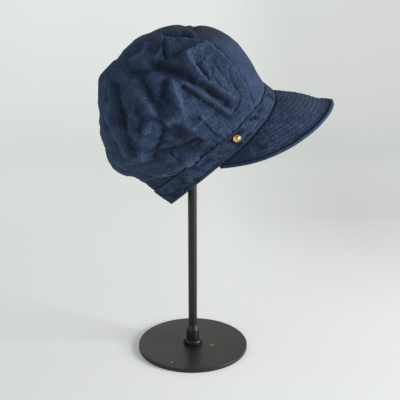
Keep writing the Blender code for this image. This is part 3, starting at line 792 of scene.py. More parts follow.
def make_weave_group():
    """Plain weave of two crossing yarns, read from the flat cloth in metres."""
    group, inputs, outputs = socketed_group(
        "plain_weave", (("Vector", None), ("Pitch", 0.0006), ("Slub", 0.5)), ("Height", "Shade"))
    place = separate(group, inputs.outputs["Vector"])
    turns = math_node(group, "DIVIDE", math.pi, inputs.outputs["Pitch"])
    warp, weft = (math_node(group, "SINE", math_node(group, "MULTIPLY", place[axis], turns)) for axis in "XY")
    crossing = math_node(group, "MULTIPLY", warp, weft)
    yarns = math_node(group, "MAXIMUM", *(math_node(group, "ABSOLUTE", yarn) for yarn in (warp, weft)))
    height = math_node(group, "MULTIPLY_ADD", crossing, 0.35, yarns)
    streaks = (stretched(group, inputs.outputs["Vector"], scale)
               for scale in ((900.0, 110.0, 1.0), (110.0, 900.0, 1.0)))
    slub = math_node(group, "MAXIMUM", *(noise_node(group, streak, 1.0, 1.0) for streak in streaks))
    height = math_node(group, "MULTIPLY_ADD", slub, inputs.outputs["Slub"], height)
    shade = math_node(group, "MULTIPLY_ADD", crossing, 0.15, math_node(group, "MULTIPLY", slub, 0.85))
    group.links.new(height, outputs.inputs["Height"])
    group.links.new(shade, outputs.inputs["Shade"])
    return group


def make_wear_group():
    """Soft mottling and sparse specks for a painted or cast surface."""
    settings = (("Vector", None), ("Mottle Scale", 30.0), ("Speck Scale", 420.0), ("Speck Share", 0.05))
    group, inputs, outputs = socketed_group("surface_wear", settings, ("Mottle", "Specks", "Grain"))
    mottle = group.nodes.new("ShaderNodeTexNoise")
    mottle.inputs["Detail"].default_value = 4.0
    specks = group.nodes.new("ShaderNodeTexNoise")
    specks.inputs["Detail"].default_value = 1.0
    for node, label in ((mottle, "Mottle Scale"), (specks, "Speck Scale")):
        group.links.new(inputs.outputs["Vector"], node.inputs["Vector"])
        group.links.new(inputs.outputs[label], node.inputs["Scale"])
    limit = math_node(group, "SUBTRACT", 0.80, inputs.outputs["Speck Share"])
    spots = math_node(group, "MULTIPLY", math_node(group, "SUBTRACT", specks.outputs["Fac"], limit), 25.0)
    held = held_node(group, spots)
    grain = noise_node(group, inputs.outputs["Vector"], 2600.0, 2.0)
    group.links.new(mottle.outputs["Fac"], outputs.inputs["Mottle"])
    group.links.new(held, outputs.inputs["Specks"])
    group.links.new(grain, outputs.inputs["Grain"])
    return group


def new_material(name, roughness, metallic=0.0):
    """Material with its Principled shader; gives back the material, its tree and the shader."""
    material = bpy.data.materials.new(name)
    material.use_nodes = True
    tree = material.node_tree
    shader = tree.nodes["Principled BSDF"]
    shader.inputs["Roughness"].default_value = roughness
    shader.inputs["Metallic"].default_value = metallic
    return material, tree, shader


def use_group(tree, group, vector, **values):
    """Place a node group in a material with its own values."""
    node = tree.nodes.new("ShaderNodeGroup")
    node.node_tree = group
    tree.links.new(vector, node.inputs["Vector"])
    for label, value in values.items():
        node.inputs[label.replace("_", " ")].default_value = value
    return node


def add_bump(tree, shader, height, strength, distance, under=None):
    """Bump from a height socket, over another bump's normal if one is given; gives back its normal."""
    node = tree.nodes.new("ShaderNodeBump")
    node.inputs["Strength"].default_value = strength
    node.inputs["Distance"].default_value = distance
    tree.links.new(height, node.inputs["Height"])
    if under is not None:
        tree.links.new(under, node.inputs["Normal"])
    if shader is not None:
        tree.links.new(node.outputs["Normal"], shader.inputs["Normal"])
    return node.outputs["Normal"]


def attribute_of(tree, name):
    """Value kept on the mesh under a name."""
    node = tree.nodes.new("ShaderNodeAttribute")
    node.attribute_name = name
    return node.outputs["Fac"]


def cloth_material(name, main, worn, painted_shade, weave, pitch, sheen):
    """Washed cotton: painted light on ridges and sewn edges, partly wear, and painted shade in folds, with
    its weave and mottling.
    """
    material, tree, shader = new_material(name, 0.88)
    shader.inputs["Sheen Weight"].default_value = sheen
    shader.inputs["Sheen Roughness"].default_value = 0.45
    shader.inputs["Sheen Tint"].default_value = (0.55, 0.65, 0.90, 1.0)
    shader.inputs["Specular IOR Level"].default_value = 0.16
    uv = tree.nodes.new("ShaderNodeUVMap")
    uv.uv_map = "cloth"
    place = object_place(tree)
    yarn = use_group(tree, weave, uv.outputs["UV"], Pitch=pitch, Slub=0.5)
    # The crease value is painted light and shade: lighter on ridges, darker in folds and recesses
    crease = attribute_of(tree, "crease")
    wear_and_light_mask = attribute_of(tree, "worn")
    cloudy = noise_node(tree, place, 26.0, 4.0, 0.6)
    fine = noise_node(tree, place, 480.0, 3.0, 0.6)
    tone = math_node(tree, "ADD", crease, swing_node(tree, cloudy, 0.40))
    tone = math_node(tree, "ADD", tone, swing_node(tree, fine, 1.10))
    # Painted shade colour in folds, the cloth's own colour, and painted light on ridges
    colour = ramp_node(tree, tone, ((0.12, painted_shade), (0.50, main), (0.92, worn)))
    # The worn value lays on the lighter cloth: painted light, partly wear on seams and edges
    colour = mix_colours(tree, wear_and_light_mask, colour, tuple(worn))
    shade = math_node(tree, "MULTIPLY_ADD", yarn.outputs["Shade"], 0.75, 0.60)
    combine = tree.nodes.new("ShaderNodeCombineColor")
    for socket in combine.inputs[:3]:
        tree.links.new(shade, socket)
    colour = mix_colours(tree, 1.0, colour, combine.outputs[0], "MULTIPLY")
    tree.links.new(colour, shader.inputs["Base Color"])
    rough = math_node(tree, "MULTIPLY_ADD", fine, 0.12, 0.82)
    tree.links.new(rough, shader.inputs["Roughness"])
    height = math_node(tree, "MULTIPLY_ADD", fine, 0.8, yarn.outputs["Height"])
    crimp = noise_node(tree, stretched(tree, uv.outputs["UV"], (1.7, 1.0, 1.0)), 170.0, 3.0, 0.6)
    crimp = math_node(tree, "ABSOLUTE", math_node(tree, "SUBTRACT", crimp, 0.5))
    crimp = math_node(tree, "MINIMUM", math_node(tree, "MULTIPLY", crimp, 6.0), 1.0)
    crimp = math_node(tree, "MULTIPLY", crimp, attribute_of(tree, "pucker"))
    crimp = math_node(tree, "MULTIPLY_ADD", noise_node(tree, place, 420.0, 3.0, 0.65), 0.9, crimp)
    add_bump(tree, shader, height, 0.5, 0.00016, add_bump(tree, None, crimp, 1.0, 0.0025))
    return material


def thread_material(colours):
    """Sewing thread with its twist."""
    material, tree, shader = new_material("navy_thread", 0.7)
    twist = noise_node(tree, object_place(tree), 1800.0, 2.0)
    tree.links.new(ramp_node(tree, twist, shades(colours.thread, 0.7, 1.5)), shader.inputs["Base Color"])
    add_bump(tree, shader, twist, 0.4, 0.0001)
    return material


def gold_material(colours, wear):
    """Satin gold-tone metal, duller in places."""
    material, tree, shader = new_material("gold_tone_metal", 0.3, 1.0)
    worn = use_group(tree, wear, object_place(tree), Mottle_Scale=300.0, Speck_Scale=2200.0, Speck_Share=0.12)
    mottle = worn.outputs["Mottle"]
    tree.links.new(ramp_node(tree, mottle, shades(colours.gold, 0.75, 1.0)), shader.inputs["Base Color"])
    tree.links.new(math_node(tree, "MULTIPLY_ADD", mottle, 0.3, 0.14), shader.inputs["Roughness"])
    add_bump(tree, shader, worn.outputs["Grain"], 0.15, 0.0001)
    return material


def black_material(colours, wear):
    """Black satin paint with painted shade that darkens it up the post, and a rust spot and a chip on the
    base.
    """
    material, tree, shader = new_material("black_satin_paint", 0.45)
    shader.inputs["Coat Weight"].default_value = 0.10
    shader.inputs["Specular IOR Level"].default_value = 0.38
    shader.inputs["Coat Roughness"].default_value = 0.3
    place = object_place(tree)
    worn = use_group(tree, wear, place, Mottle_Scale=22.0, Speck_Scale=260.0, Speck_Share=0.02)
    mottle = worn.outputs["Mottle"]
    specks = math_node(tree, "MULTIPLY", worn.outputs["Specks"], 0.5)
    colour = ramp_node(tree, mottle, shades(colours.black, 0.86, 1.16))
    colour = mix_colours(tree, specks, colour, (0.16, 0.16, 0.15))
    # Painted shade: the paint darkens above the base, up the collar and post
    painted_post_shade = rising(tree, separate(tree, place)["Z"], 0.010, 0.045)
    colour = mix_colours(tree, painted_post_shade, colour, tuple(0.45 * part for part in colours.black))
    spots = spot_mask(tree, place, RUST_MIDDLE, RUST_RADII)
    colour = mix_colours(tree, spots, colour, tuple(colours.rust))
    chip = spot_mask(tree, place, CHIP_MIDDLE, CHIP_RADII)
    colour = mix_colours(tree, chip, colour, (0.55, 0.54, 0.51))
    tree.links.new(colour, shader.inputs["Base Color"])
    rough = math_node(tree, "MULTIPLY_ADD", mottle, 0.22, 0.30)
    tree.links.new(math_node(tree, "MULTIPLY_ADD", spots, 0.4, rough), shader.inputs["Roughness"])
    add_bump(tree, shader, worn.outputs["Grain"], 0.12, 0.0001)
    return material


def plastic_material(colours, wear):
    """Matt plastic of the stand's head."""
    material, tree, shader = new_material("matt_head_plastic", 0.6)
    worn = use_group(tree, wear, object_place(tree), Mottle_Scale=60.0, Speck_Scale=500.0, Speck_Share=0.0)
    colour = ramp_node(tree, worn.outputs["Mottle"], shades(colours.plastic, 0.8, 1.3))
    tree.links.new(colour, shader.inputs["Base Color"])
    add_bump(tree, shader, worn.outputs["Grain"], 0.3, 0.0002)
    return material


def make_finishes(colours, sizes):
    """All materials, by name."""
    weave, wear = make_weave_group(), make_wear_group()
    return {
        "navy": cloth_material("washed_navy_cotton", colours.navy, colours.navy_wear_and_light, colours.navy_painted_shade,
                               weave, sizes.yarn_pitch, 0.07),
        "quilted": cloth_material("quilted_navy_cotton", colours.quilted, colours.navy_wear_and_light,
                                  colours.navy_painted_shade, weave, sizes.yarn_pitch, 0.06),
        "thread": thread_material(colours),
        "gold": gold_material(colours, wear),
        "black": black_material(colours, wear),
        "plastic": plastic_material(colours, wear),
    }


def spot_mask(tree, place, middle, radii):
    """Mask of one ragged spot on the stand's base, round its middle."""
    mapping = tree.nodes.new("ShaderNodeMapping")
    mapping.vector_type = "POINT"
    mapping.inputs["Location"].default_value = (-middle[0] / radii[0], -middle[1] / radii[1], 0.0)
    mapping.inputs["Scale"].default_value = (1 / radii[0], 1 / radii[1], 0.0)
    tree.links.new(place, mapping.inputs["Vector"])
    length = tree.nodes.new("ShaderNodeVectorMath")
    length.operation = "LENGTH"
    tree.links.new(mapping.outputs["Vector"], length.inputs[0])
    rough_edge = noise_node(tree, place, 700.0, 3.0)
    ragged = math_node(tree, "MULTIPLY_ADD", rough_edge, 1.4, length.outputs["Value"])
    level = math_node(tree, "MULTIPLY", math_node(tree, "SUBTRACT", 1.70, ragged), 1.6)
    low = math_node(tree, "LESS_THAN", separate(tree, place)["Z"], MARK_TOP)
    return math_node(tree, "MULTIPLY", held_node(tree, level), low)


FINISHES = {}


def finish_of(name):
    """One of the hat's materials, all made at first use."""
    if not FINISHES:
        scene = bpy.context.scene
        FINISHES.update(make_finishes(scene.hat_colours, scene.hat_cloth))
    return FINISHES[name]


def cut_panel(grid, side):
    """Copy of the crown's cloth cut at its seams: a side panel, or the strip where side is 0."""
    panel = grid.copy()
    for each in (side,) if side else (-1, 1):
        normal = Vector((0.0, each * math.cos(SEAM_LEAN), math.sin(SEAM_LEAN)))
        seat = Vector((0.0, each * STRIP_BAND_HALF_WIDTH, 0.0))
        bmesh.ops.bisect_plane(
            panel, geom=panel.verts[:] + panel.edges[:] + panel.faces[:], dist=1e-6,
            plane_co=seat, plane_no=normal, clear_inner=bool(side), clear_outer=not side)
    layer = panel.verts.layers.float["wobble"]
    for vertex in panel.verts:
        vertex.co.y += vertex[layer]
    return panel


class HAT_OT_crown(bpy.types.Operator):
    """Make the three crumpled panels of the crown"""
    bl_idname = "sun_hat.crown"
    bl_label = "Crown panels"

    def execute(self, context):
        sizes = context.scene.hat_cloth
        grid, across, rise = shared_grid(CROWN_AROUND, CROWN_LEVELS)
        turn = 2 * math.pi * (across - 0.5)
        base = crown_base(turn, rise)
        outward = outward_at(crown_base, turn, rise)
        lift = crown_lift(turn, rise, base, sizes)
        lift[np.argwhere(rise > 0.9999).ravel()] = lift[np.argmax(rise)]
        points = base + outward * lift[:, None]
        points[:, 2] -= 0.0030 * (1 - smooth(rise * CROWN_LEVELS / 2))
        points[:, 2] += seam_wave(turn) * bump(rise * CROWN_RISE, 0.010)
        points[:, 2] -= 0.0012 * hanging(base, above_seam(rise))
        crease, worn, pucker = self.tones(turn, rise, base, lift)
        wobble = 0.0016 * noise_field(base, 0.024, 40) + 0.0005 * noise_field(base, 0.008, 41)
        wobble *= np.sign(base[:, 1])
        points[:, 1] -= wobble
        place_grid(grid, points, {"crease": crease, "worn": worn, "pucker": pucker, "wobble": wobble})
        bmesh.ops.remove_doubles(grid, verts=grid.verts, dist=1e-5)
        material = finish_of("navy")
        for name, side in (("crown_side_right", -1), ("crown_side_left", 1), ("crown_centre_panel", 0)):
            panel = cut_panel(grid, side)
            lay_uv(panel, side_flat if side else strip_flat)
            finish_cloth(name + "_cloth", panel, CROWN_WALL, material, (name,))
        grid.free()
        return {"FINISHED"}

    @staticmethod
    def tones(turn, rise, base, lift):
        """Tone of each corner, painted light on its ridge and painted shade in its fold, its lighter cloth,
        partly wear and partly painted light, and its puckers.
        """
        tone = 0.5 + (lift - soften(lift, turn, rise, 9)) / TONE_DEPTH * 0.26
        tone += (lift - soften(lift, turn, rise, 26)) / 0.006 * 0.20
        beyond = seam_distance(base)
        # Lighter lines at the side seams: painted light on the pressed seam's ridge, partly wear
        worn = 0.85 * bump(beyond - 0.0030, 0.0017) + 0.22 * bump(beyond + 0.0030, 0.0014)
        front = smooth((base[:, 0] - 0.2 * CROWN_REACH) / 0.04)
        beside = front * bump(beyond - 0.016, 0.018)
        rear, edge = bag_edge(base)
        above = above_seam(rise)
        # Painted light beside the front seams, and a painted highlight along the bag's lower edge
        worn += 0.34 * beside + 0.40 * smooth(rear / 0.2) * bump(above - edge, 0.0016)
        # Painted shade under the bag's overhanging edge
        tone -= 0.22 * smooth(rear / 0.2) * smooth((edge - above - 0.001) / 0.004)
        pucker = mix(0.45, 1.5, beside)
        pucker *= mix(mix(0.8, 0.25, front), 1.0, smooth((beyond + 0.004) / 0.006))
        right = base[:, 1] < 0
        # Painted light and shade in stretches on the right side
        tone[right] += fold_heights(base[right][:, [0, 2]], CROWN_PAINTED_SHADING) / 0.01
        along, up = base[:, 0] / CROWN_REACH, base[:, 2] / CROWN_TOP
        # Painted shade low at the back of the crown
        tone -= 0.16 * smooth((0.45 - up) / 0.15) * smooth((0.25 - along) / 0.2)
        # Painted shade on the strip's front beside its seams
        strip_front = smooth((along - 0.6) / 0.2) * smooth((up - 0.45) / 0.15)
        tone -= 0.34 * strip_front * smooth((0.002 - beyond) / 0.004)
        return np.clip(tone, 0.0, 1.0), np.clip(worn, 0, 1), pucker


def stud_seat():
    """Middle of the stud's back on the band, and the direction it faces."""
    turn = np.array([STUD_TURN])
    low, high = band_base(turn, np.zeros(1))[0], band_base(turn, np.ones(1))[0]
    share = (STUD_UP - low[2]) / (high[2] - low[2])
    outward = Vector(outward_at(band_base, turn, np.array([share]))[0])
    return Vector(mix(low, high, share)) + outward * SEAT_GAP, outward


class HAT_OT_band(bpy.types.Operator):
    """Make the band round the head"""
    bl_idname = "sun_hat.band"
    bl_label = "Band"

    def execute(self, context):
        grid, across, rise = shared_grid(BAND_AROUND, BAND_LEVELS)
        turn = 2 * math.pi * (across - 0.5)
        base = band_base(turn, rise)
        outward = outward_at(band_base, turn, rise)
        height = mix(BAND_BACK_HEIGHT, BAND_FRONT_HEIGHT, (1 + np.cos(turn)) / 2)
        up = rise * height
        down = height - up
        middle = smooth(up / 0.004) * smooth(down / 0.003)
        slanted = np.stack((base[:, 0] + 0.6 * base[:, 2], base[:, 1], base[:, 2] * 0.5), axis=1)
        pucker = 0.0008 * noise_field(slanted, 0.0085, 51)
        pucker += 0.0004 * noise_field(slanted, 0.0042, 52, "ridged")
        flat = np.stack((turn * BAND_FLAT_RADIUS + 0.7 * up, up), axis=1)
        pucker += 0.0010 * facets(flat, 0.0080, 1.3, 0.5, 81) + 0.0004 * facets(flat, 0.0038, 1.2, 0.9, 82)
        lift = pucker * mix(0.25, 1.0, middle) * smooth(up / 0.002)
        lift -= 0.00035 * bump(up - 0.0016, 0.0005) + 0.0006 * bump(up - 0.0037, 0.0009)
        lift += 0.0004 * bump(up, 0.0010) + 0.0003 * bump(down, 0.0012)
        points = base + outward * lift[:, None]
        points[:, 2] += seam_wave(turn) * rise
        seat = np.array(stud_seat()[0])
        from_stud = np.linalg.norm(points - seat, axis=1)
        # Painted light on raised puckers and painted shade between them, and a darker ring round the stud
        crease = 0.55 + lift / TONE_DEPTH - 1.2 * bump(from_stud - 0.0050, 0.0010)
        # Painted shade in the groove of the upper row of stitches
        crease = np.clip(crease - 0.5 * bump(up - 0.0038, 0.0009), 0, 1)
        # Lighter cloth: painted light on the lower edge's roll and below the top seam, partly wear
        worn = 0.9 * bump(up - 0.0012, 0.0014) + 0.25 * bump(down - 0.0018, 0.0012)
        # Painted light on the raised puckers at the front
        worn += 0.85 * smooth((pucker + 0.0005) / 0.0016) * smooth((base[:, 0] / CROWN_REACH + 0.2) / 0.4)
        worn = np.clip(worn, 0, 1)
        place_grid(grid, points, {"crease": crease, "worn": worn, "pucker": np.full_like(up, 1.2),
                                  "round": turn * BAND_FLAT_RADIUS, "up": up})
        bmesh.ops.remove_doubles(grid, verts=grid.verts, dist=1e-5)
        lay_uv(grid, kept_flat(grid, "round", "up"))
        finish_cloth("band_cloth", grid, BAND_WALL, finish_of("navy"), ("band",))
        return {"FINISHED"}


def peak_surface(across, out, sizes):
    """Points of the sewn peak's upper face, with the lift that its rows, puckers and rolled edge give it."""
    base, normal = peak_base(across, out)
    length = peak_length(across)
    from_edge = length * (1 - out)
    from_root = length * out
    row = (from_edge - sizes.edge_roll) / sizes.row_spacing
    in_rows = smooth((from_edge - sizes.edge_roll) / 0.002) * smooth(from_root / 0.003)
    between = np.abs(np.sin(math.pi * row))
    swell = sizes.row_depth * (between ** 0.7 - 0.6) * in_rows * mix(1.1, 0.45, np.abs(across) ** 2)
    around = across * PEAK_EAR_TURN * PEAK_RELIEF_RADIUS
    flat = np.stack((around, from_edge * 0.7, np.zeros_like(out)), axis=1)
    ears = mix(0.50, 4.2, np.abs(across) ** 2)
    puckers = noise_field(flat, 0.0030, 61) * 0.00020 + facets(flat[:, :2], 0.0048, 1.3, 0.6, 71) * 0.00034
    puckers += facets(flat[:, :2], 0.0105, 1.4, -0.5, 72) * 0.00038
    puckers *= ears * in_rows * mix(0.6, 1.0, between)
    waves = noise_field(flat, 0.021, 62) * 0.0012 * smooth(from_root / 0.012)
    roll = (from_edge - 0.5 * sizes.edge_roll) / (0.5 * sizes.edge_roll)
    swollen = 0.0013 * np.sqrt(np.clip(1 - roll ** 2, 0, 1))
    edge = swollen - 0.00075 * bump(from_edge - sizes.edge_roll * 1.12, 0.0011)
    upturn = 0.0020 * (1 - np.abs(across) ** 3) * smooth(1 - from_edge / 0.016) ** 2
    corner = 0.0006 * bump(np.abs(across) - 0.16, 0.10) * smooth(1 - from_edge / 0.012)
    arch = 0.0026 * (1 - np.abs(across) ** 2) * np.sin(math.pi * np.clip(out, 0, 1)) ** 1.2
    fade = smooth(length / 0.012)
    lift = (swell + puckers + waves + edge + upturn + corner + arch) * fade
    return base + normal * lift[:, None], swell + puckers, from_edge, from_root


class HAT_OT_peak(bpy.types.Operator):
    """Make the peak with its sewn rows and rolled edge"""
    bl_idname = "sun_hat.peak"
    bl_label = "Peak"

    def execute(self, context):
        sizes = context.scene.hat_cloth
        grid, share, rise = shared_grid(PEAK_COLUMNS, PEAK_ROWS)
        across = 2 * share - 1
        out = mix(-PEAK_TUCK, peak_length(across), 1 - rise) / peak_length(across)
        points, relief, from_edge, from_root = peak_surface(across, out, sizes)
        # Painted light on the rows' swells and painted shade between them, and a painted shadow line inside
        # the rolled edge
        crease = 0.48 + relief / TONE_DEPTH - 0.45 * bump(from_edge - sizes.edge_roll * 1.15, 0.0014)
        # Painted light on the rolled edge, along the root and out to the ears
        worn = 0.95 * smooth((sizes.edge_roll - from_edge) / 0.0012) * smooth(peak_length(across) / 0.010)
        worn = np.clip(worn + 0.25 * bump(from_root, 0.0012) + 0.85 * np.abs(across) ** 2.2, 0, 1)
        pucker = mix(0.2, 2.2, np.abs(across) ** 2)
        place_grid(grid, points, {"crease": np.clip(crease, 0, 1), "worn": worn, "pucker": pucker,
                                  "round": across * PEAK_EAR_TURN * PEAK_FLAT_RADIUS, "out": from_root})
        lay_uv(grid, kept_flat(grid, "round", "out"))
        finish_cloth("peak_cloth", grid, PEAK_WALL, finish_of("quilted"), ("peak",))
        return {"FINISHED"}


def stitch_line(stitches, points, normals, sizes):
    """Add stitches along a line of close points, each half sunk into the cloth."""
    steps = np.linalg.norm(np.diff(points, axis=0), axis=1)
    run = np.concatenate(([0.0], np.cumsum(steps)))
    count = int(run[-1] // sizes.stitch_pitch)
    for index in range(count):
        middle = (index + 0.5) * sizes.stitch_pitch
        ends = [Vector([np.interp(middle + shift * sizes.stitch_length, run, points[:, axis])
                        for axis in range(3)]) for shift in (-0.5, 0.5)]
        normal = Vector([np.interp(middle, run, normals[:, axis]) for axis in range(3)]).normalized()
        along = (ends[1] - ends[0]).normalized()
        sideways = normal.cross(along).normalized()
        turn = Matrix((along, sideways, normal)).transposed().to_4x4()
        size = Matrix.Diagonal((sizes.stitch_length / 2, sizes.thread / 2, sizes.thread / 2, 1.0))
        place = Matrix.Translation((ends[0] + ends[1]) / 2 + normal * sizes.thread * 0.12)
        bmesh.ops.create_icosphere(stitches, subdivisions=1, radius=1.0, matrix=place @ turn @ size)


class HAT_OT_stitches(bpy.types.Operator):
    """Sew the rows of the peak and the two lines along the band's lower edge"""
    bl_idname = "sun_hat.stitches"
    bl_label = "Stitches"

    def execute(self, context):
        sizes = context.scene.hat_cloth
        stitches = bmesh.new()
        rows = int((PEAK_LENGTH - sizes.edge_roll) // sizes.row_spacing)
        for row in range(rows + 1):
            inset = sizes.edge_roll + row * sizes.row_spacing
            across = np.linspace(-0.97, 0.97, 700)
            length = peak_length(across)
            keep = length - inset > 0.0035
            if keep.sum() < 20:
                continue
            across, length = across[keep], length[keep]
            out = (length - inset) / length
            stitch_line(stitches, peak_surface(across, out, sizes)[0], peak_base(across, out)[1], sizes)
        finish_cloth("peak_stitches", stitches, 0.0, finish_of("thread"))
        stitches = bmesh.new()
        for up in BAND_STITCH_ROWS:
            turn = np.linspace(-math.pi, math.pi, 900)
            height = mix(BAND_BACK_HEIGHT, BAND_FRONT_HEIGHT, (1 + np.cos(turn)) / 2)
            rise = up / height
            outward = outward_at(band_base, turn, rise)
            points = band_base(turn, rise) + outward * 0.00012
            stitch_line(stitches, points, outward, sizes)
        finish_cloth("band_stitches", stitches, 0.0, finish_of("thread"))
        return {"FINISHED"}


def spun(name, profile, material, nodes, place=None, steps=96):
    """Smooth solid turned round Z from a profile given from the top down, axis to axis."""
    mesh = bpy.data.meshes.new(name)
    line = bmesh.new()
    corners = [line.verts.new((radius, 0.0, height)) for radius, height in profile]
    edges = [line.edges.new(pair) for pair in zip(corners, corners[1:])]
    bmesh.ops.spin(line, geom=corners + edges, cent=(0, 0, 0), axis=(0, 0, 1), angle=2 * math.pi,
                   steps=steps, use_merge=True)
    bmesh.ops.remove_doubles(line, verts=line.verts, dist=1e-6)
    bmesh.ops.recalc_face_normals(line, faces=line.faces)
    if place is not None:
        line.transform(place)
    line.to_mesh(mesh)
    line.free()
    mesh.shade_smooth()
    piece = bpy.data.objects.new(name, mesh)
    bpy.context.scene.collection.objects.link(piece)
    piece.data.materials.append(material)
    edge = piece.modifiers.new("flat faces", "WEIGHTED_NORMAL")
    edge.keep_sharp = True
    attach(piece, "root")
    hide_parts(*nodes)
    return piece


def rounded(corner, radius, start, end, steps=6):
    """Points of a rounded profile corner, from one angle to another in degrees."""
    made = []
    for step in range(steps + 1):
        angle = math.radians(mix(start, end, step / steps))
        made.append((corner[0] + radius * math.cos(angle), corner[1] + radius * math.sin(angle)))
    return made


class HAT_OT_stud(bpy.types.Operator):
    """Make the small domed stud on the band"""
    bl_idname = "sun_hat.stud"
    bl_label = "Stud"

    def execute(self, context):
        seat, outward = stud_seat()
        place = hat_matrix() @ Matrix.Translation(seat) @ outward.to_track_quat("Z", "Y").to_matrix().to_4x4()
        rim = context.scene.stand_sizes.stud_rim
        dome = STUD_RADIUS - rim * 1.5
        profile = [(0.0, STUD_RIM_HEIGHT + STUD_DOME_RISE)]
        for turn in np.radians(range(10, 91, 10)):
            profile.append((dome * math.sin(turn), STUD_RIM_HEIGHT + STUD_DOME_RISE * math.cos(turn)))
        profile += rounded((STUD_RADIUS - rim / 2, 0.0009), rim / 2, 170, -60, 10)
        profile += [(STUD_RADIUS * 0.92, 0.0), (0.0, 0.0)]
        spun("stud_dome", profile, finish_of("gold"), ("stud",), place, 64)
        return {"FINISHED"}


def base_profile(radius, bottom, top, sizes):
    """Flat disc with rounded edges."""
    edge, under = sizes.edge_round, sizes.edge_round * 0.5
    profile = [(0.0, top), (radius * 0.5, top)] + rounded((radius - edge, top - edge), edge, 90, 0)
    return profile + rounded((radius - under, bottom + under), under, 0, -90, 3) + [(0.0, bottom)]


def flange_profile(radius, bottom, top, sizes):
    """Low disc with a round upper edge."""
    edge = sizes.flange_round
    profile = [(0.0, top)] + rounded((radius - edge, top - edge), edge, 90, 0)
    return profile + [(radius, bottom + 0.0008), (radius - 0.0006, bottom), (0.0, bottom)]


def collar_profile(radius, bottom, top, sizes):
    """Sleeve with a cone above its shoulder, up to the post."""
    neck = round_reach("stand_post")[0] + 0.0006
    shoulder = top - 0.007
    edge = sizes.collar_round
    profile = [(0.0, top)] + rounded((neck - 0.0003, top - 0.0003), 0.0003, 90, 20, 3)
    profile += rounded((radius - edge, shoulder - edge), edge, 70, 0)
    return profile + [(radius, bottom + 0.0004), (radius - 0.0004, bottom), (0.0, bottom)]


def post_profile(radius, bottom, top, sizes):
    """Plain rod."""
    return [(0.0, top), (radius, top), (radius, bottom), (0.0, bottom)]


def head_profile(radius, bottom, top, sizes):
    """Dome cut from a sphere."""
    turns = np.linspace(0, math.asin(radius / HEAD_SPHERE_RADIUS), 17)
    profile = [(HEAD_SPHERE_RADIUS * math.sin(turn), top - HEAD_SPHERE_RADIUS * (1 - math.cos(turn)))
               for turn in turns]
    return profile + [(radius, bottom + 0.0012), (radius - 0.0012, bottom), (0.0, bottom)]


def round_reach(node):
    """Radius, lowest and highest height of a round CAD node."""
    low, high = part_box(node)
    return (high[0] - low[0]) / 2, low[2], high[2]


StandPart = namedtuple("StandPart", "name node profile slot finish steps")
STAND_PARTS = (
    StandPart("base_disc", "stand_base", base_profile, "black_metal", "black", 160),
    StandPart("flange_disc", "stand_flange", flange_profile, "black_metal", "black", 96),
    StandPart("collar_sleeve", "stand_collar", collar_profile, "black_metal", "black", 96),
    StandPart("post_rod", "stand_post", post_profile, "black_metal", "black", 64),
    StandPart("head_dome", "stand_head", head_profile, "head_plastic", "plastic", 96),
)


class HAT_OT_stand(bpy.types.Operator):
    """Make the stand's base, flange, collar, post and head"""
    bl_idname = "sun_hat.stand"
    bl_label = "Stand"

    def execute(self, context):
        sizes = context.scene.stand_sizes
        for part in STAND_PARTS:
            profile = part.profile(*round_reach(part.node), sizes)
            spun(part.name, profile, finish_of(part.finish), (part.node,), steps=part.steps)
        return {"FINISHED"}


def area_light(name, place, aim, size, power, colour):
    """Soft square lamp aimed at a point."""
    lamp = bpy.data.lights.new(name, "AREA")
    lamp.size = size
    lamp.energy = power
    lamp.color = colour
    made = bpy.data.objects.new(name, lamp)
    made.location = place
    made.rotation_euler = (Vector(aim) - Vector(place)).to_track_quat("-Z", "Y").to_euler()
    bpy.context.scene.collection.objects.link(made)


def floor_material(colours):
    """Pale floor and wall with painted shade that greys them to the right of the stand and behind it, and a
    faint painted glow.
    """
    material, tree, shader = new_material("pale_floor", 0.9)
    place = object_place(tree)
    spot = separate(tree, place)
    pale = tuple(colours.floor)
    colour = ramp_node(tree, noise_node(tree, place, 3.0), shades(pale, 0.985, 1.0))
    # Painted shade to the right of the stand and behind it
    aside = rising(tree, spot["X"], 0.05, 0.34)
    away = ramp_node(tree, spot["Y"],
                     ((0.10, (0.0, 0.0, 0.0)), (0.60, (1.0, 1.0, 1.0)), (1.0, (0.15, 0.15, 0.15))))
    behind = math_node(tree, "MULTIPLY", aside, away)
    colour = mix_colours(tree, aside, colour, tuple(0.88 * part for part in pale))
    colour = mix_colours(tree, behind, colour, tuple(0.74 * part for part in pale))
    tree.links.new(colour, shader.inputs["Base Color"])
    # Painted glow: the floor and wall give off a little light of their own
    tree.links.new(colour, shader.inputs["Emission Color"])
    shader.inputs["Emission Strength"].default_value = 0.10
    return material


def make_floor(width, material):
    """Floor that sweeps up into a wall."""
    outline = [(FLOOR_NEAR, 0.0), (WALL_FOOT, 0.0)]
    for turn in np.radians(range(6, 91, 6)):
        outline.append((WALL_FOOT + WALL_CURVE * math.sin(turn), WALL_CURVE - WALL_CURVE * math.cos(turn)))
    outline.append((WALL_FOOT + WALL_CURVE, WALL_TOP))
    sweep = bmesh.new()
    line = [sweep.verts.new((-width / 2, y, z)) for y, z in outline]
    edges = [sweep.edges.new(pair) for pair in zip(line, line[1:])]
    swept = bmesh.ops.extrude_edge_only(sweep, edges=edges)["geom"]
    corners = [made for made in swept if isinstance(made, bmesh.types.BMVert)]
    bmesh.ops.translate(sweep, verts=corners, vec=(width, 0, 0))
    bmesh.ops.recalc_face_normals(sweep, faces=sweep.faces)
    mesh = bpy.data.meshes.new("pale_sweep")
    sweep.to_mesh(mesh)
    sweep.free()
    mesh.shade_smooth()
    floor = bpy.data.objects.new("pale_sweep", mesh)
    bpy.context.scene.collection.objects.link(floor)
    floor.data.materials.append(material)


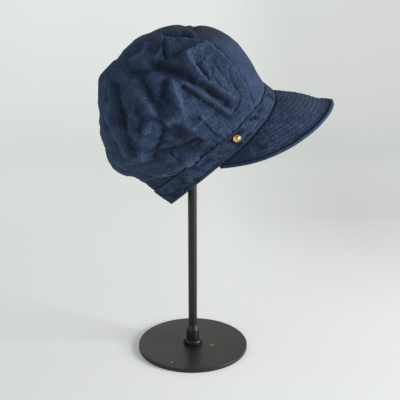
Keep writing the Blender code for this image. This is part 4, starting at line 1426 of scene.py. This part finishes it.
class HAT_OT_stage(bpy.types.Operator):
    """Make the pale floor, the soft lights and the camera"""
    bl_idname = "sun_hat.stage"
    bl_label = "Stage"

    def execute(self, context):
        scene = context.scene
        make_floor(scene.stand_sizes.floor_width, floor_material(scene.hat_colours))
        world = bpy.data.worlds.new("soft_room")
        world.use_nodes = True
        background = world.node_tree.nodes["Background"]
        background.inputs["Color"].default_value = (0.96, 0.98, 1.0, 1.0)
        background.inputs["Strength"].default_value = 0.30
        scene.world = world
        scene.view_settings.view_transform = "Standard"
        for lamp in LAMPS:
            area_light(*lamp)
        camera = bpy.data.cameras.new("camera")
        camera.lens = CAMERA_LENS
        camera.sensor_width = SENSOR_WIDTH
        holder = bpy.data.objects.new("camera", camera)
        holder.location = CAMERA_PLACE
        holder.rotation_euler = (CAMERA_TILT, 0.0, 0.0)
        scene.collection.objects.link(holder)
        scene.camera = holder
        return {"FINISHED"}


OPERATORS = (HAT_OT_crown, HAT_OT_band, HAT_OT_peak, HAT_OT_stitches, HAT_OT_stud, HAT_OT_stand, HAT_OT_stage)


class HAT_PT_panel(bpy.types.Panel):
    """Lists the steps that dress the hat and its stand"""
    bl_label = "Sun hat"
    bl_idname = "HAT_PT_panel"
    bl_space_type = "VIEW_3D"
    bl_region_type = "UI"
    bl_category = "Sun hat"

    def draw(self, context):
        for operator in OPERATORS:
            self.layout.operator(operator.bl_idname)


GROUPS = (("hat_cloth", ClothSizes), ("stand_sizes", StandSizes), ("hat_colours", Colours))


def register():
    for name, group in GROUPS:
        bpy.utils.register_class(group)
        setattr(bpy.types.Scene, name, PointerProperty(type=group))
    for each in OPERATORS + (HAT_PT_panel,):
        bpy.utils.register_class(each)


def unregister():
    for each in (HAT_PT_panel,) + OPERATORS[::-1]:
        bpy.utils.unregister_class(each)
    for name, group in GROUPS[::-1]:
        delattr(bpy.types.Scene, name)
        bpy.utils.unregister_class(group)


def main():
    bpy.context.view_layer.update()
    register()
    for name in ("crown", "band", "peak", "stitches", "stud", "stand", "stage"):
        getattr(bpy.ops.sun_hat, name)()
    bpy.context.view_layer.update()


if __name__ == "__main__":
    main()
